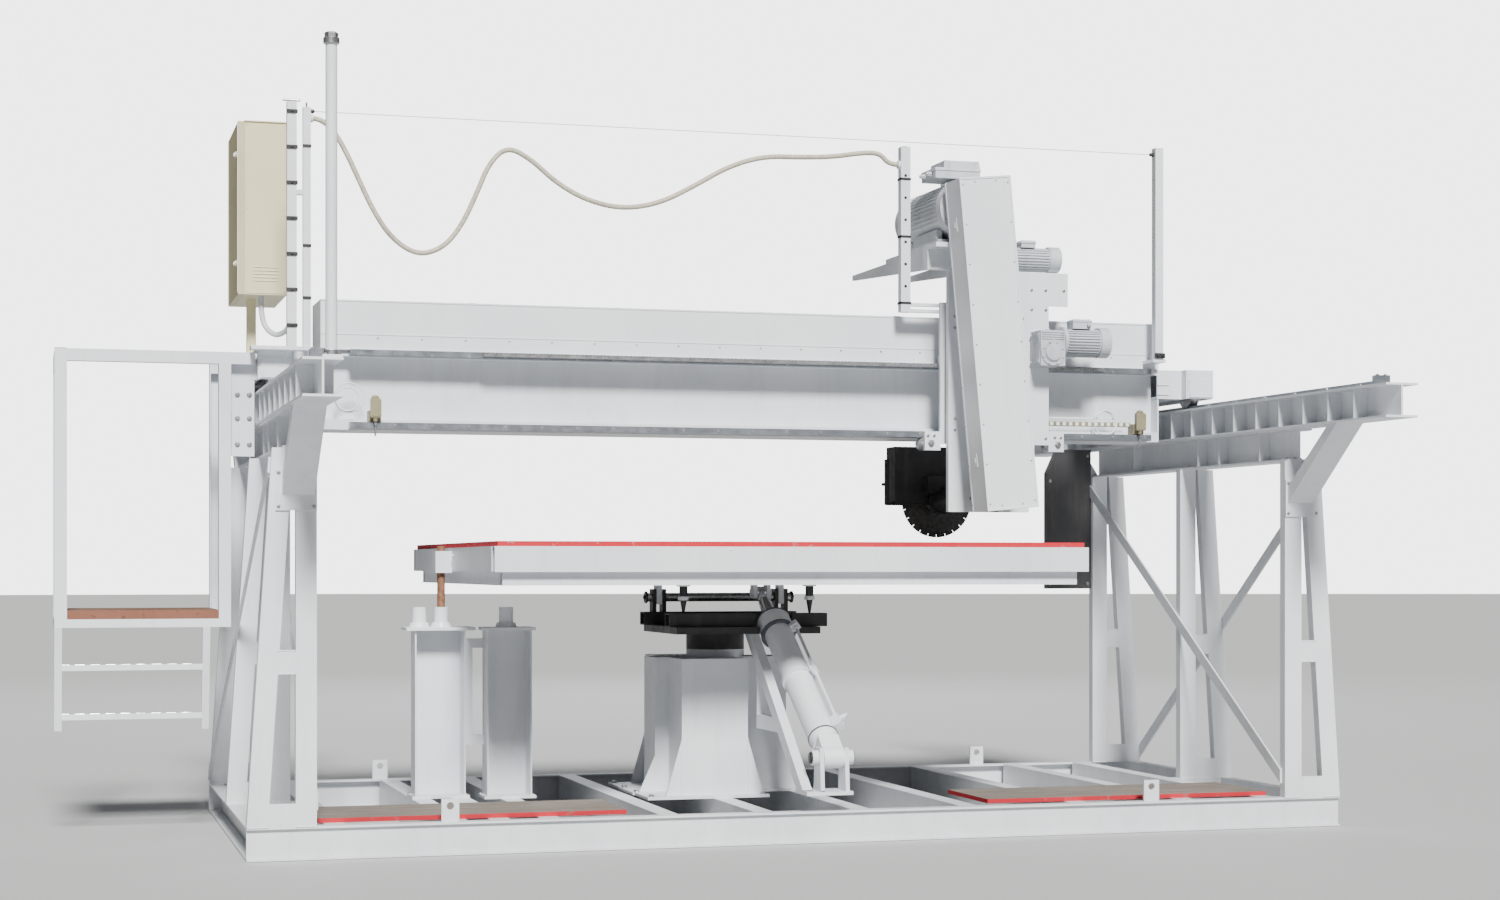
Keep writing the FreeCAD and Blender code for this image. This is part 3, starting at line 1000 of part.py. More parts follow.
# ---------------------------------------------------------------------------------------------------
# cords
# ---------------------------------------------------------------------------------------------------
def cord(name, points, radius):
    """A tube along straight runs joined by the largest tangent arcs that the runs allow."""
    route = [Vector(*p) for p in points]
    edges, radii, at = [], [], route[0]
    for before, corner, after in zip(route, route[1:], route[2:]):
        incoming = (corner - before).normalize()
        outgoing = (after - corner).normalize()
        setback = 0.45 * min((corner - before).Length, (after - corner).Length)
        turn = incoming.getAngle(outgoing)
        radii.append(setback / math.tan(turn / 2))
        enter, leave = corner - incoming * setback, corner + outgoing * setback
        inward = (outgoing - incoming).normalize()
        middle = corner + inward * (radii[-1] / math.cos(turn / 2) - radii[-1])
        edges.append(Part.LineSegment(at, enter).toShape())
        edges.append(Part.Arc(enter, middle, leave).toShape())
        at = leave
    edges.append(Part.LineSegment(at, route[-1]).toShape())
    path = Part.Wire(edges)
    section = Part.Wire([Part.makeCircle(radius, route[0], route[1] - route[0])])
    tube = path.makePipeShell([section], True, False)
    expected = math.pi * radius ** 2 * path.Length
    print(f"{name}: length {path.Length:.0f}, smallest radius {min(radii):.0f}, "
          f"volume ratio {tube.Volume / expected:.4f}")
    item = doc.addObject("Part::Feature", name)
    item.Shape = tube
    node(name, item)


def cords():
    festoon = [
        (-1746, -160, 3026), (-1702, -160, 3026), (-1645, -166, 2972), (-1592, -165, 2880),
        (-1540, -163, 2768), (-1478, -158, 2640), (-1400, -156, 2528), (-1290, -157, 2462),
        (-1180, -160, 2500), (-1102, -164, 2600), (-1040, -166, 2735), (-985, -163, 2870),
        (-905, -158, 2948), (-800, -156, 2898), (-690, -160, 2800), (-560, -164, 2730),
        (-400, -165, 2697), (-230, -163, 2728), (-70, -158, 2812), (90, -156, 2908),
        (255, -159, 2960), (420, -162, 2962), (580, -162, 2972), (720, -160, 2998),
        (800, -160, 2998), (840, -160, 2950), (893, -160, 2950),
    ]
    cord("festoon_cable", festoon, 11)
    conduit = [(-1900, 420, 2330), (-1900, 420, 2265), (-1885, 415, 2195), (-1840, 380, 2150),
               (-1790, 330, 2175), (-1772, 250, 2240), (-1788, 120, 2290), (-1822, -20, 2300),
               (-1826, -140, 2300)]
    cord("conduit_loop", conduit, 12)


base_frame()
columns()
runways()
floor_boards()
splash_panel()
pedestal()
index_posts()
supply_post()
turntable()
cylinder_arm()
cylinder_pieces()
table()
bridge()
rack_and_pinion()
trucks()
platform()
cabinet()
cable_supports()
limit_switches()
carriage()
head()
cords()

doc.recompute()
faults = [f"{item.Label}: {item.State}" for item in doc.Objects
          if "Invalid" in item.State or "Error" in item.State]
for item in NODES:
    if item.Shape.isNull() or not item.Shape.isValid() or not item.Shape.Solids:
        faults.append(f"{item.Label}: no valid solid")
if faults:
    raise SystemExit("\n".join(faults))
os.makedirs("parts", exist_ok=True)
for item in NODES:
    item.Shape.exportStep(f"parts/{item.Label}.step")
    print(item.Label, len(item.Shape.Solids), round(item.Shape.Volume / 1e6, 2))
print(len(NODES), "nodes")
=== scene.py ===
"""Looks for the bridge saw: camera, light, cords, materials and the fine pieces on the CAD frame."""
import bpy
import bmesh
import math
import random
from mathutils import Matrix, Vector


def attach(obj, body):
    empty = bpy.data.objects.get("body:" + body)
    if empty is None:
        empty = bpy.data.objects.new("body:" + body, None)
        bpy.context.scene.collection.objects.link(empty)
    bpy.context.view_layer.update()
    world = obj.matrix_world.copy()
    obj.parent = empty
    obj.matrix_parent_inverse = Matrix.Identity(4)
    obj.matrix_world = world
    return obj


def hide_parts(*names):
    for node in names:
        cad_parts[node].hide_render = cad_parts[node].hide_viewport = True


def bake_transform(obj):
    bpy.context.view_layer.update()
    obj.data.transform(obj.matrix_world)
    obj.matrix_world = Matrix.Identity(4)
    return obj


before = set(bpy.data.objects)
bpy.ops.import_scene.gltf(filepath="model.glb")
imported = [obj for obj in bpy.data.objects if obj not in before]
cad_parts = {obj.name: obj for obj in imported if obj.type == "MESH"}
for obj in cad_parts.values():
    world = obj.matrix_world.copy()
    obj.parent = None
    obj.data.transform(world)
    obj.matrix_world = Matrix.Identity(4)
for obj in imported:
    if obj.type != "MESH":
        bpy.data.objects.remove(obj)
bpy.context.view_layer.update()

random.seed(7)


# ---------------------------------------------------------------------------------------------------
# camera, light and floor
# ---------------------------------------------------------------------------------------------------
def light(name, place, target, size, power, colour=(1, 1, 1)):
    data = bpy.data.lights.new(name, "AREA")
    data.energy, data.size, data.color = power, size, colour
    item = bpy.data.objects.new(name, data)
    item.location = place
    item.rotation_euler = (Vector(target) - Vector(place)).to_track_quat("-Z", "Y").to_euler()
    bpy.context.scene.collection.objects.link(item)


camera_data = bpy.data.cameras.new("camera")
camera_data.sensor_width = 36
camera_data.lens = 58.8
camera_data.shift_y = 0.0773
camera_data.clip_end = 100
camera = bpy.data.objects.new("camera", camera_data)
camera.location = (-2.882, -10.603, 1.136)
camera.rotation_euler = (math.radians(90), 0, math.radians(-16.38))
bpy.context.scene.collection.objects.link(camera)
bpy.context.scene.camera = camera

key = bpy.data.lights.new("key", "SUN")
key.energy, key.angle, key.color = 7.6, math.radians(12), (1, 0.985, 0.95)
key_item = bpy.data.objects.new("key", key)
key_item.rotation_euler = Vector((0.9, 10.4, -8.8)).to_track_quat("-Z", "Y").to_euler()
bpy.context.scene.collection.objects.link(key_item)
light("fill", (8.0, -8.0, 3.5), (0.3, 0, 1.2), 5.0, 15, (0.90, 0.95, 1))
light("rear", (3.0, 12.0, 7.0), (0.3, 0, 1.2), 4.0, 420, (0.94, 0.97, 1))

# the world is dim for the light it sheds, and as pale as the floor where it is seen
world = bpy.data.worlds.new("studio")
world.use_nodes = True
shed = world.node_tree.nodes["Background"]
shed.inputs["Color"].default_value = (0.90, 0.92, 0.95, 1)
shed.inputs["Strength"].default_value = 0.05
seen = world.node_tree.nodes.new("ShaderNodeBackground")
seen.inputs["Color"].default_value = (0.90, 0.905, 0.91, 1)
seen.inputs["Strength"].default_value = 4.5
chooser = world.node_tree.nodes.new("ShaderNodeMixShader")
rays = world.node_tree.nodes.new("ShaderNodeLightPath")
world.node_tree.links.new(rays.outputs["Is Camera Ray"], chooser.inputs[0])
world.node_tree.links.new(shed.outputs[0], chooser.inputs[1])
world.node_tree.links.new(seen.outputs[0], chooser.inputs[2])
world.node_tree.links.new(chooser.outputs[0], world.node_tree.nodes["World Output"].inputs["Surface"])
bpy.context.scene.world = world

floor_mesh = bpy.data.meshes.new("floor")
floor_mesh.from_pydata([(-90, -90, -0.002), (90, -90, -0.002), (90, 90, -0.002), (-90, 90, -0.002)], [],
                       [(0, 1, 2, 3)])
floor = bpy.data.objects.new("floor", floor_mesh)
bpy.context.scene.collection.objects.link(floor)


# ---------------------------------------------------------------------------------------------------
# materials
# ---------------------------------------------------------------------------------------------------
class Nodes:
    """A short way to build a material's node tree."""

    def __init__(self, name):
        self.material = bpy.data.materials.new(name)
        self.material.use_nodes = True
        self.tree = self.material.node_tree
        self.shader = self.tree.nodes["Principled BSDF"]
        self.place = self.add("ShaderNodeTexCoord").outputs["Object"]

    def add(self, kind, **inputs):
        item = self.tree.nodes.new(kind)
        for key, value in inputs.items():
            self.feed(item.inputs[key.replace("_", " ")], value)
        return item

    def feed(self, socket, value):
        if isinstance(value, bpy.types.NodeSocket):
            self.tree.links.new(value, socket)
        else:
            socket.default_value = value

    def noise(self, scale, detail=4.0, rough=0.55, stretch=None):
        at = self.place
        if stretch:
            mapping = self.add("ShaderNodeMapping")
            self.feed(mapping.inputs["Vector"], at)
            mapping.inputs["Scale"].default_value = stretch
            at = mapping.outputs["Vector"]
        item = self.add("ShaderNodeTexNoise")
        self.feed(item.inputs["Vector"], at)
        item.inputs["Scale"].default_value = scale
        item.inputs["Detail"].default_value = detail
        item.inputs["Roughness"].default_value = rough
        return item.outputs["Fac"]

    def ramp(self, value, stops):
        item = self.add("ShaderNodeValToRGB")
        self.feed(item.inputs["Fac"], value)
        while len(item.color_ramp.elements) < len(stops):
            item.color_ramp.elements.new(0.5)
        for element, (position, colour) in zip(item.color_ramp.elements, stops):
            element.position = position
            element.color = (*colour, 1) if isinstance(colour, tuple) else (colour, colour, colour, 1)
        return item.outputs["Color"]

    def mix(self, factor, first, second, blend="MIX"):
        item = self.add("ShaderNodeMix")
        item.data_type = "RGBA"
        item.blend_type = blend
        for socket, value in ((item.inputs[0], factor), (item.inputs[6], first), (item.inputs[7], second)):
            if isinstance(value, tuple):
                value = (*value, 1)
            self.feed(socket, value)
        return item.outputs[2]

    def math(self, operation, first, second=0.0):
        item = self.add("ShaderNodeMath")
        item.operation = operation
        self.feed(item.inputs[0], first)
        self.feed(item.inputs[1], second)
        return item.outputs[0]

    def part(self, axis, source=None):
        item = self.add("ShaderNodeSeparateXYZ")
        self.feed(item.inputs[0], source or self.place)
        return item.outputs[axis]

    def bump(self, height, strength=0.2, distance=0.002, under=None):
        item = self.add("ShaderNodeBump")
        item.inputs["Strength"].default_value = strength
        item.inputs["Distance"].default_value = distance
        self.feed(item.inputs["Height"], height)
        if under:
            self.feed(item.inputs["Normal"], under)
        return item.outputs["Normal"]

    def finish(self, colour, roughness=0.5, normal=None, metallic=0.0, **sockets):
        if isinstance(colour, tuple):
            colour = (*colour, 1)
        self.feed(self.shader.inputs["Base Color"], colour)
        self.feed(self.shader.inputs["Roughness"], roughness)
        self.shader.inputs["Metallic"].default_value = metallic
        if normal:
            self.feed(self.shader.inputs["Normal"], normal)
        for key, value in sockets.items():
            self.shader.inputs[key.replace("_", " ")].default_value = value
        return self.material


def paint(name, colour, dark, grime=(0.30, 0.27, 0.22), dirt=0.25, rough=(0.32, 0.5), low=0.45):
    """Brushed enamel: faint roller marks, uneven tone, specks, and dust that gathers lower down."""
    n = Nodes(name)
    broad = n.noise(1.7, 5)
    tone = n.mix(n.ramp(broad, [(0.35, 0.0), (0.68, 1.0)]), colour, dark)
    streak = n.noise(5.0, 6, 0.6, (4.0, 4.0, 0.7))
    tone = n.mix(n.ramp(streak, [(0.52, 0.0), (0.80, dirt)]), tone, grime)
    height = n.part("Z")
    near_floor = n.ramp(n.math("MULTIPLY", height, 1 / low), [(0.0, 0.30), (1.0, 0.0)])
    tone = n.mix(n.math("MULTIPLY", near_floor, n.noise(9.0, 6)), tone, grime)
    specks = n.ramp(n.noise(140.0, 2), [(0.70, 0.0), (0.74, 0.55)])
    tone = n.mix(n.math("MULTIPLY", specks, n.ramp(n.noise(3.0), [(0.45, 0.0), (0.6, 1.0)])), tone, grime)
    shine = n.ramp(n.noise(22.0, 5), [(0.3, rough[0]), (0.75, rough[1])])
    skin = n.bump(n.noise(260.0, 3), 0.10, 0.0006)
    waves = n.bump(n.noise(14.0, 3, 0.5), 0.12, 0.002, skin)
    return n.finish(tone, shine, waves)


def steel(name, colour, dark, rough=(0.25, 0.45), along=(1.0, 1.0, 1.0), metallic=0.9, scale=60.0):
    n = Nodes(name)
    grain = n.noise(scale, 5, 0.6, along)
    tone = n.mix(n.ramp(grain, [(0.3, 0.0), (0.75, 1.0)]), colour, dark)
    stain = n.ramp(n.noise(6.0, 5), [(0.55, 0.0), (0.8, 0.5)])
    tone = n.mix(stain, tone, tuple(c * 0.55 for c in dark))
    shine = n.ramp(n.noise(30.0, 4), [(0.3, rough[0]), (0.7, rough[1])])
    return n.finish(tone, shine, n.bump(grain, 0.12, 0.0006), metallic)


def boards(name, wood, dark, edge, plank, across):
    """Weathered planks on top, with a coat of edge paint on the faces that stand upright."""
    n = Nodes(name)
    stretch = (1.5, 26.0, 26.0) if across == "Y" else (26.0, 1.5, 26.0)
    grain = n.noise(3.0, 8, 0.65, stretch)
    tone = n.mix(n.ramp(grain, [(0.3, 0.0), (0.7, 1.0)]), wood, dark)
    tone = n.mix(n.ramp(n.noise(2.3, 5), [(0.4, 0.0), (0.75, 0.55)]), tone, tuple(c * 0.6 for c in dark))
    phase = n.math("FRACT", n.math("DIVIDE", n.part(across), plank))
    gap = n.math("LESS_THAN", phase, 0.035)
    tone = n.mix(gap, tone, (0.02, 0.016, 0.013))
    upright = n.math("ABSOLUTE", n.part("Z", n.add("ShaderNodeNewGeometry").outputs["Normal"]))
    side = n.math("LESS_THAN", upright, 0.5)
    worn = n.ramp(n.noise(24.0, 6), [(0.62, 1.0), (0.72, 0.25)])
    coat = n.mix(n.noise(8.0, 4), edge, tuple(c * 0.72 for c in edge))
    tone = n.mix(n.math("MULTIPLY", side, worn), tone, coat)
    rough = n.ramp(n.noise(18.0, 4), [(0.3, 0.62), (0.7, 0.85)])
    relief = n.math("SUBTRACT", grain, n.math("MULTIPLY", gap, 2.0))
    return n.finish(tone, rough, n.bump(relief, 0.35, 0.002))


WHITE, SHADE = (0.80, 0.83, 0.87), (0.70, 0.735, 0.785)
M = {
    "white": paint("white_enamel", WHITE, SHADE, dirt=0.16),
    "cover": paint("cover_enamel", (0.83, 0.86, 0.90), (0.77, 0.80, 0.85), dirt=0.07, low=0.2),
    # near-black grey, used only on the cylinder gland: painted shade standing in for the shadow the gland
    # collar sits in
    "grey": paint("gland_painted_shade", (0.10, 0.11, 0.13), (0.05, 0.055, 0.065), (0.26, 0.24, 0.21), 0.3),
    "panel": paint("panel_grey", (0.085, 0.085, 0.09), (0.055, 0.055, 0.06), (0.20, 0.17, 0.13), 0.35),
    # near-black: on the turntable, jack screws, spindle housing and blade guard, which stand under the table
    # and the beam, this black is painted shade for the shadow there
    "black": paint("black_enamel_and_painted_shade", (0.022, 0.022, 0.025), (0.012, 0.012, 0.014), (0.14, 0.13, 0.12), 0.22,
                   (0.38, 0.6)),
    "beige": paint("beige_enamel", (0.76, 0.70, 0.46), (0.68, 0.62, 0.39), (0.34, 0.29, 0.19), 0.10),
    # the door is a darker copy of the cabinet beige: painted shade for the door face that turns away from the
    # light
    "beige_door_painted_shade": paint("beige_door_painted_shade", (0.62, 0.56, 0.35), (0.53, 0.475, 0.29), (0.28, 0.23, 0.15), 0.16),
    "motor": paint("motor_enamel", (0.60, 0.63, 0.67), (0.44, 0.47, 0.51), (0.16, 0.15, 0.14), 0.4),
    "switch": paint("switch_enamel", (0.30, 0.27, 0.17), (0.20, 0.18, 0.11), (0.10, 0.09, 0.07), 0.4),
    "steel": steel("bare_steel", (0.56, 0.57, 0.58), (0.33, 0.33, 0.34)),
    "rail": steel("rail_steel", (0.36, 0.39, 0.43), (0.25, 0.27, 0.31), (0.30, 0.45), (1.0, 6.0, 6.0),
                  scale=9.0),
    "chrome": steel("chromed_rod", (0.80, 0.80, 0.82), (0.66, 0.66, 0.68), (0.06, 0.14), metallic=1.0),
    "blade": steel("blade_steel", (0.085, 0.082, 0.08), (0.035, 0.034, 0.034), (0.38, 0.55), metallic=0.75),
    "rust": steel("rusty_steel", (0.33, 0.16, 0.085), (0.15, 0.07, 0.04), (0.6, 0.85), metallic=0.25),
    "rubber": steel("belt_rubber", (0.025, 0.025, 0.025), (0.012, 0.012, 0.012), (0.6, 0.8), metallic=0.0),
    "planks": boards("walkway_planks", (0.30, 0.255, 0.215), (0.15, 0.125, 0.105), (0.58, 0.012, 0.03), 0.118,
                     "Y"),
    "deck": boards("deck_planks", (0.27, 0.155, 0.10), (0.13, 0.07, 0.045), (0.26, 0.10, 0.06), 0.10,
                   "Y"),
    "table": boards("table_boards", (0.42, 0.40, 0.38), (0.27, 0.25, 0.24), (0.62, 0.010, 0.028), 0.30, "X"),
    "cable": steel("cable_jacket", (0.62, 0.58, 0.47), (0.36, 0.33, 0.26), (0.5, 0.7), metallic=0.0,
                   scale=90.0),
    "conduit": steel("conduit_jacket", (0.70, 0.72, 0.74), (0.48, 0.50, 0.53), (0.35, 0.5), metallic=0.0),
}

floor_nodes = Nodes("pale_floor")
floor_tone = floor_nodes.mix(floor_nodes.noise(0.6, 3), (0.50, 0.505, 0.515), (0.48, 0.485, 0.495))
floor_mesh.materials.append(floor_nodes.finish(floor_tone, 0.9))

LOOKS = {
    "base_frame": "white", "columns": "white", "runway_beams": "white", "runway_rails": "rail",
    "trestle_braces": "white", "floor_boards": "planks", "splash_panel": "panel", "pedestal": "white",
    # turntable_frame, jack_screws, spindle_housing and blade_guard take the near-black look: painted shade
    # for the shadow under the table and the beam
    "index_posts": "white", "index_sockets": "white", "supply_post": "white", "turntable_frame": "black",
    "hinge_shaft": "steel", "cylinder_arm": "white", "cylinder_barrel": "cover", "cylinder_rod": "chrome",
    "cylinder_piping": "white", "table_frame": "white", "table_board": "table", "jack_screws": "black",
    "lock_pin": "rust", "bridge_beam": "white", "bridge_cover": "cover", "guide_rails": "rail",
    "drive_rack": "steel", "drive_pinion": "steel", "end_trucks": "white", "idle_wheel_left": "steel",
    "idle_wheel_right": "steel", "drive_axle": "steel", "bridge_gearmotor": "motor",
    "platform_frame": "white", "platform_floor": "deck", "cabinet_body": "beige",
    # the cabinet door takes the darker beige copy: painted shade
    "cabinet_door": "beige_door_painted_shade", "cable_masts": "white", "limit_switches": "switch",
    "switch_lever_left": "steel", "switch_lever_right": "steel", "carriage_plate": "white",
    "roller_left": "steel", "roller_right": "steel", "cable_mast": "white", "worm_gearbox": "motor",
    "travel_motor": "motor", "lift_gearmotor": "motor", "lift_screw": "steel", "slide_plate": "white",
    "motor_platform": "white", "main_motor": "motor", "motor_pulley": "steel", "spindle_shaft": "steel",
    "spindle_housing": "black", "saw_blade": "blade", "belt_cover": "cover", "belt_backplate": "white",
    "drive_belts": "rubber", "blade_guard": "black", "conduit_loop": "conduit",
    "festoon_cable": "cable",
}
for node_name, look in LOOKS.items():
    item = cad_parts[node_name]
    if not item.material_slots:
        item.data.materials.append(M[look])
    for place in item.material_slots:
        place.material = M[look]


# ---------------------------------------------------------------------------------------------------
# cords
# ---------------------------------------------------------------------------------------------------
def spline(name, points, radius=0.0, resolution=12):
    data = bpy.data.curves.new(name, "CURVE")
    data.dimensions = "3D"
    line = data.splines.new("NURBS")
    line.points.add(len(points) - 1)
    for point, place in zip(line.points, points):
        point.co = (*place, 1)
    line.order_u = 3
    line.use_endpoint_u = True
    line.resolution_u = resolution
    data.bevel_depth = radius
    data.bevel_resolution = 5
    data.use_fill_caps = True
    item = bpy.data.objects.new(name, data)
    bpy.context.scene.collection.objects.link(item)
    return item


def line_of(points):
    """The points that a route's spline runs through."""
    curve = spline("route", points)
    mesh = bpy.data.meshes.new_from_object(curve)
    places = [tuple(v.co) for v in mesh.vertices]
    bpy.data.objects.remove(curve)
    return places


FESTOON = [
    (-1.746, -0.160, 3.026), (-1.702, -0.160, 3.026), (-1.645, -0.166, 2.972), (-1.592, -0.165, 2.880),
    (-1.540, -0.163, 2.768), (-1.478, -0.158, 2.640), (-1.400, -0.156, 2.528), (-1.290, -0.157, 2.462),
    (-1.180, -0.160, 2.500), (-1.102, -0.164, 2.600), (-1.040, -0.166, 2.735), (-0.985, -0.163, 2.870),
    (-0.905, -0.158, 2.948), (-0.800, -0.156, 2.898), (-0.690, -0.160, 2.800), (-0.560, -0.164, 2.730),
    (-0.400, -0.165, 2.697), (-0.230, -0.163, 2.728), (-0.070, -0.158, 2.812), (0.090, -0.156, 2.908),
    (0.255, -0.159, 2.960), (0.420, -0.162, 2.962), (0.580, -0.162, 2.972), (0.720, -0.160, 2.998),
    (0.800, -0.160, 2.998), (0.840, -0.160, 2.950), (0.893, -0.160, 2.950),
]
CONDUIT = [
    (-1.900, 0.420, 2.330), (-1.900, 0.420, 2.265), (-1.885, 0.415, 2.195), (-1.840, 0.380, 2.150),
    (-1.790, 0.330, 2.175), (-1.772, 0.250, 2.240), (-1.788, 0.120, 2.290), (-1.822, -0.020, 2.300),
    (-1.826, -0.140, 2.300),
]
festoon_line = line_of(FESTOON)
festoon_curve = spline("festoon", FESTOON, 0.011)
festoon_mesh = bpy.data.meshes.new_from_object(festoon_curve)
bpy.data.objects.remove(festoon_curve)
festoon_mesh.materials.clear()
festoon_mesh.materials.append(M["cable"])
for face in festoon_mesh.polygons:
    face.use_smooth = True
festoon = bpy.data.objects.new("festoon", festoon_mesh)
bpy.context.scene.collection.objects.link(festoon)
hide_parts("festoon_cable")

conduit = spline("conduit", CONDUIT, 0.012)
conduit.data.materials.append(M["conduit"])
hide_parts("conduit_loop")
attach(conduit, "bridge")
conduit_line = line_of(CONDUIT)

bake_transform(festoon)


# ---------------------------------------------------------------------------------------------------
# fine pieces, drawn in millimetres
# ---------------------------------------------------------------------------------------------------
def around(centre, radius, angle):
    return centre[0] + radius * math.cos(angle), centre[1] + radius * math.sin(angle)


class Shape:
    """A fine piece that is built up from small solids and bevelled as a whole."""

    def __init__(self, matrix=None):
        self.mesh = bmesh.new()
        self.matrix = matrix or Matrix()

    def loft(self, rings, closed=False):
        rows = [[self.mesh.verts.new(self.matrix @ Vector(p)) for p in ring] for ring in rings]
        count = len(rows[0])
        for low, high in zip(rows, rows[1:] + rows[:1] if closed else rows[1:]):
            for k in range(count):
                self.mesh.faces.new((low[k], low[(k + 1) % count], high[(k + 1) % count], high[k]))
        if not closed:
            self.mesh.faces.new(rows[0][::-1])
            self.mesh.faces.new(rows[-1])

    def block(self, x, y, z, taper=0.0):
        (x0, x1), (y0, y1), (z0, z1) = x, y, z
        t = taper
        self.loft([[(x0, y0, z0), (x1, y0, z0), (x1, y1, z0), (x0, y1, z0)],
                   [(x0 + t, y0 + t, z1), (x1 - t, y0 + t, z1), (x1 - t, y1 - t, z1), (x0 + t, y1 - t, z1)]])

    def ring(self, axis, centre, along, radius, sides, turn=0.0):
        points = []
        for k in range(sides):
            angle = turn + 2 * math.pi * k / sides
            a, b = around(centre, radius, angle)
            points.append({"x": (along, a, b), "y": (a, along, b), "z": (a, b, along)}[axis])
        return points

    def lathe(self, axis, centre, profile, sides=24, turn=0.0):
        """A turned solid from pairs of place along the axis and radius."""
        self.loft([self.ring(axis, centre, along, radius, sides, turn) for along, radius in profile])

    def band(self, axis, centre, span, inner, outer, sides=32):
        corners = ((span[0], inner), (span[1], inner), (span[1], outer), (span[0], outer))
        self.loft([self.ring(axis, centre, along, radius, sides) for along, radius in corners], True)

    def bolt(self, axis, centre, start, size=8.0, way=1):
        """A hexagon head with a dished crown on a washer, seated at start and facing way."""
        head = 0.62 * size
        self.lathe(axis, centre, [(start, 1.25 * size), (start + way * 0.22 * size, 1.25 * size)], 16)
        self.lathe(axis, centre, [(start + way * 0.22 * size, size),
                                  (start + way * (head + 0.1 * size), size),
                                  (start + way * (head + 0.25 * size), 0.82 * size)], 6, random.random())

    def screw(self, axis, centre, start, size=5.0, way=1):
        self.lathe(axis, centre, [(start, size), (start + way * 0.28 * size, 0.92 * size),
                                  (start + way * 0.5 * size, 0.55 * size),
                                  (start + way * 0.42 * size, 0.3 * size)],
                   14)

    def fins(self, axis, centre, span, inner, outer, count, thick=2.6, skip=()):
        """Cooling fins that run along a motor's body, rounded off towards both ends."""
        for k in range(count):
            turn = 2 * math.pi * k / count
            if any(abs(math.remainder(turn - middle, 2 * math.pi)) < half for middle, half in skip):
                continue
            out, side = (math.cos(turn), math.sin(turn)), (-math.sin(turn), math.cos(turn))
            rows = []
            for along, reach in ((span[0], inner + 1), (span[0] + 6, outer), (span[1] - 6, outer),
                                 (span[1], inner + 1)):
                row = []
                for radius, half in ((inner - 2, -thick / 2), (reach, -thick / 3), (reach, thick / 3),
                                     (inner - 2, thick / 2)):
                    a = centre[0] + out[0] * radius + side[0] * half
                    b = centre[1] + out[1] * radius + side[1] * half
                    row.append({"x": (along, a, b), "y": (a, along, b), "z": (a, b, along)}[axis])
                rows.append(row)
            self.loft(rows)

    def grille(self, axis, centre, start, radius, way=1):
        for share in (0.25, 0.45, 0.65, 0.85):
            span = sorted((start, start + way * 2.5))
            self.band(axis, centre, span, radius * share - 2, radius * share + 2)
        for k in range(6):
            turn = math.pi * k / 6
            ends = []
            for reach in (-radius * 0.9, radius * 0.9):
                middle = (centre[0] + reach * math.cos(turn), centre[1] + reach * math.sin(turn))
                off = (-2 * math.sin(turn), 2 * math.cos(turn))
                row = []
                for sign, depth in ((-1, 0), (1, 0), (1, 1.6), (-1, 1.6)):
                    a, b, along = middle[0] + sign * off[0], middle[1] + sign * off[1], start + way * depth
                    row.append({"x": (along, a, b), "y": (a, along, b), "z": (a, b, along)}[axis])
                ends.append(row)
            self.loft(ends)

    def bead(self, start, end, radius=4.0):
        """A weld bead: short overlapping swells along a line."""
        start, end = Vector(start), Vector(end)
        along = (end - start).normalized()
        side = along.orthogonal().normalized()
        up = along.cross(side)
        count = max(4, min(90, int((end - start).length / 7)))
        rows = []
        for k in range(count + 1):
            size = radius * (0.78 + 0.22 * (k % 2) + random.uniform(-0.08, 0.08))
            middle = start.lerp(end, k / count)
            rows.append([tuple(middle + side * (size * math.cos(a)) + up * (size * math.sin(a)))
                         for a in (math.pi * j / 4 for j in range(8))])
        self.loft(rows)

    def done(self, name, look, body, bevel=0.8, smooth=False):
        bmesh.ops.recalc_face_normals(self.mesh, faces=self.mesh.faces)
        bmesh.ops.scale(self.mesh, vec=(0.001, 0.001, 0.001), verts=self.mesh.verts)
        data = bpy.data.meshes.new(name)
        self.mesh.to_mesh(data)
        self.mesh.free()
        data.materials.append(M[look])
        if smooth:
            for face in data.polygons:
                face.use_smooth = True
        item = bpy.data.objects.new(name, data)
        bpy.context.scene.collection.objects.link(item)
        if bevel:
            edge = item.modifiers.new("edge", "BEVEL")
            edge.width = bevel / 1000
            edge.segments = 2
            edge.limit_method = "ANGLE"
        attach(item, body)
        return item


def span_of(first, last, count):
    return [first + (last - first) * k / (count - 1) for k in range(count)]


# places that the pieces share with the CAD nodes; an axis is given by its two other coordinates
RUNWAYS = (-1889, 2419)      # the middles of the two runways along x
WHEEL_AXIS = 1955            # the height of the end trucks' wheels
RAIL_TOP = 130               # the top of the base frame
FOOT_TOP = 142               # the top of the foot plates on it
STOP_TOP = 1915
COVER_FRONT, COVER_REAR, COVER_TOP = -65, 245, 2275
CARRIAGE_FACE, SLIDE_FACE = -200, -262
BRIDGE_MOTOR = (2281, 2005)
GEARBOX = (1575, 2105)
TRAVEL_MOTOR = (-260, 2159)
LIFT_MOTOR = (-160, 2545)
MAIN_MOTOR = (1152, 2740)
SPINDLE = (1271, 1447)
TURN_AXIS = (71, 0)
TILT_HINGE = (255, 993)
CYLINDER_FOOT = (275, -1050, 350)

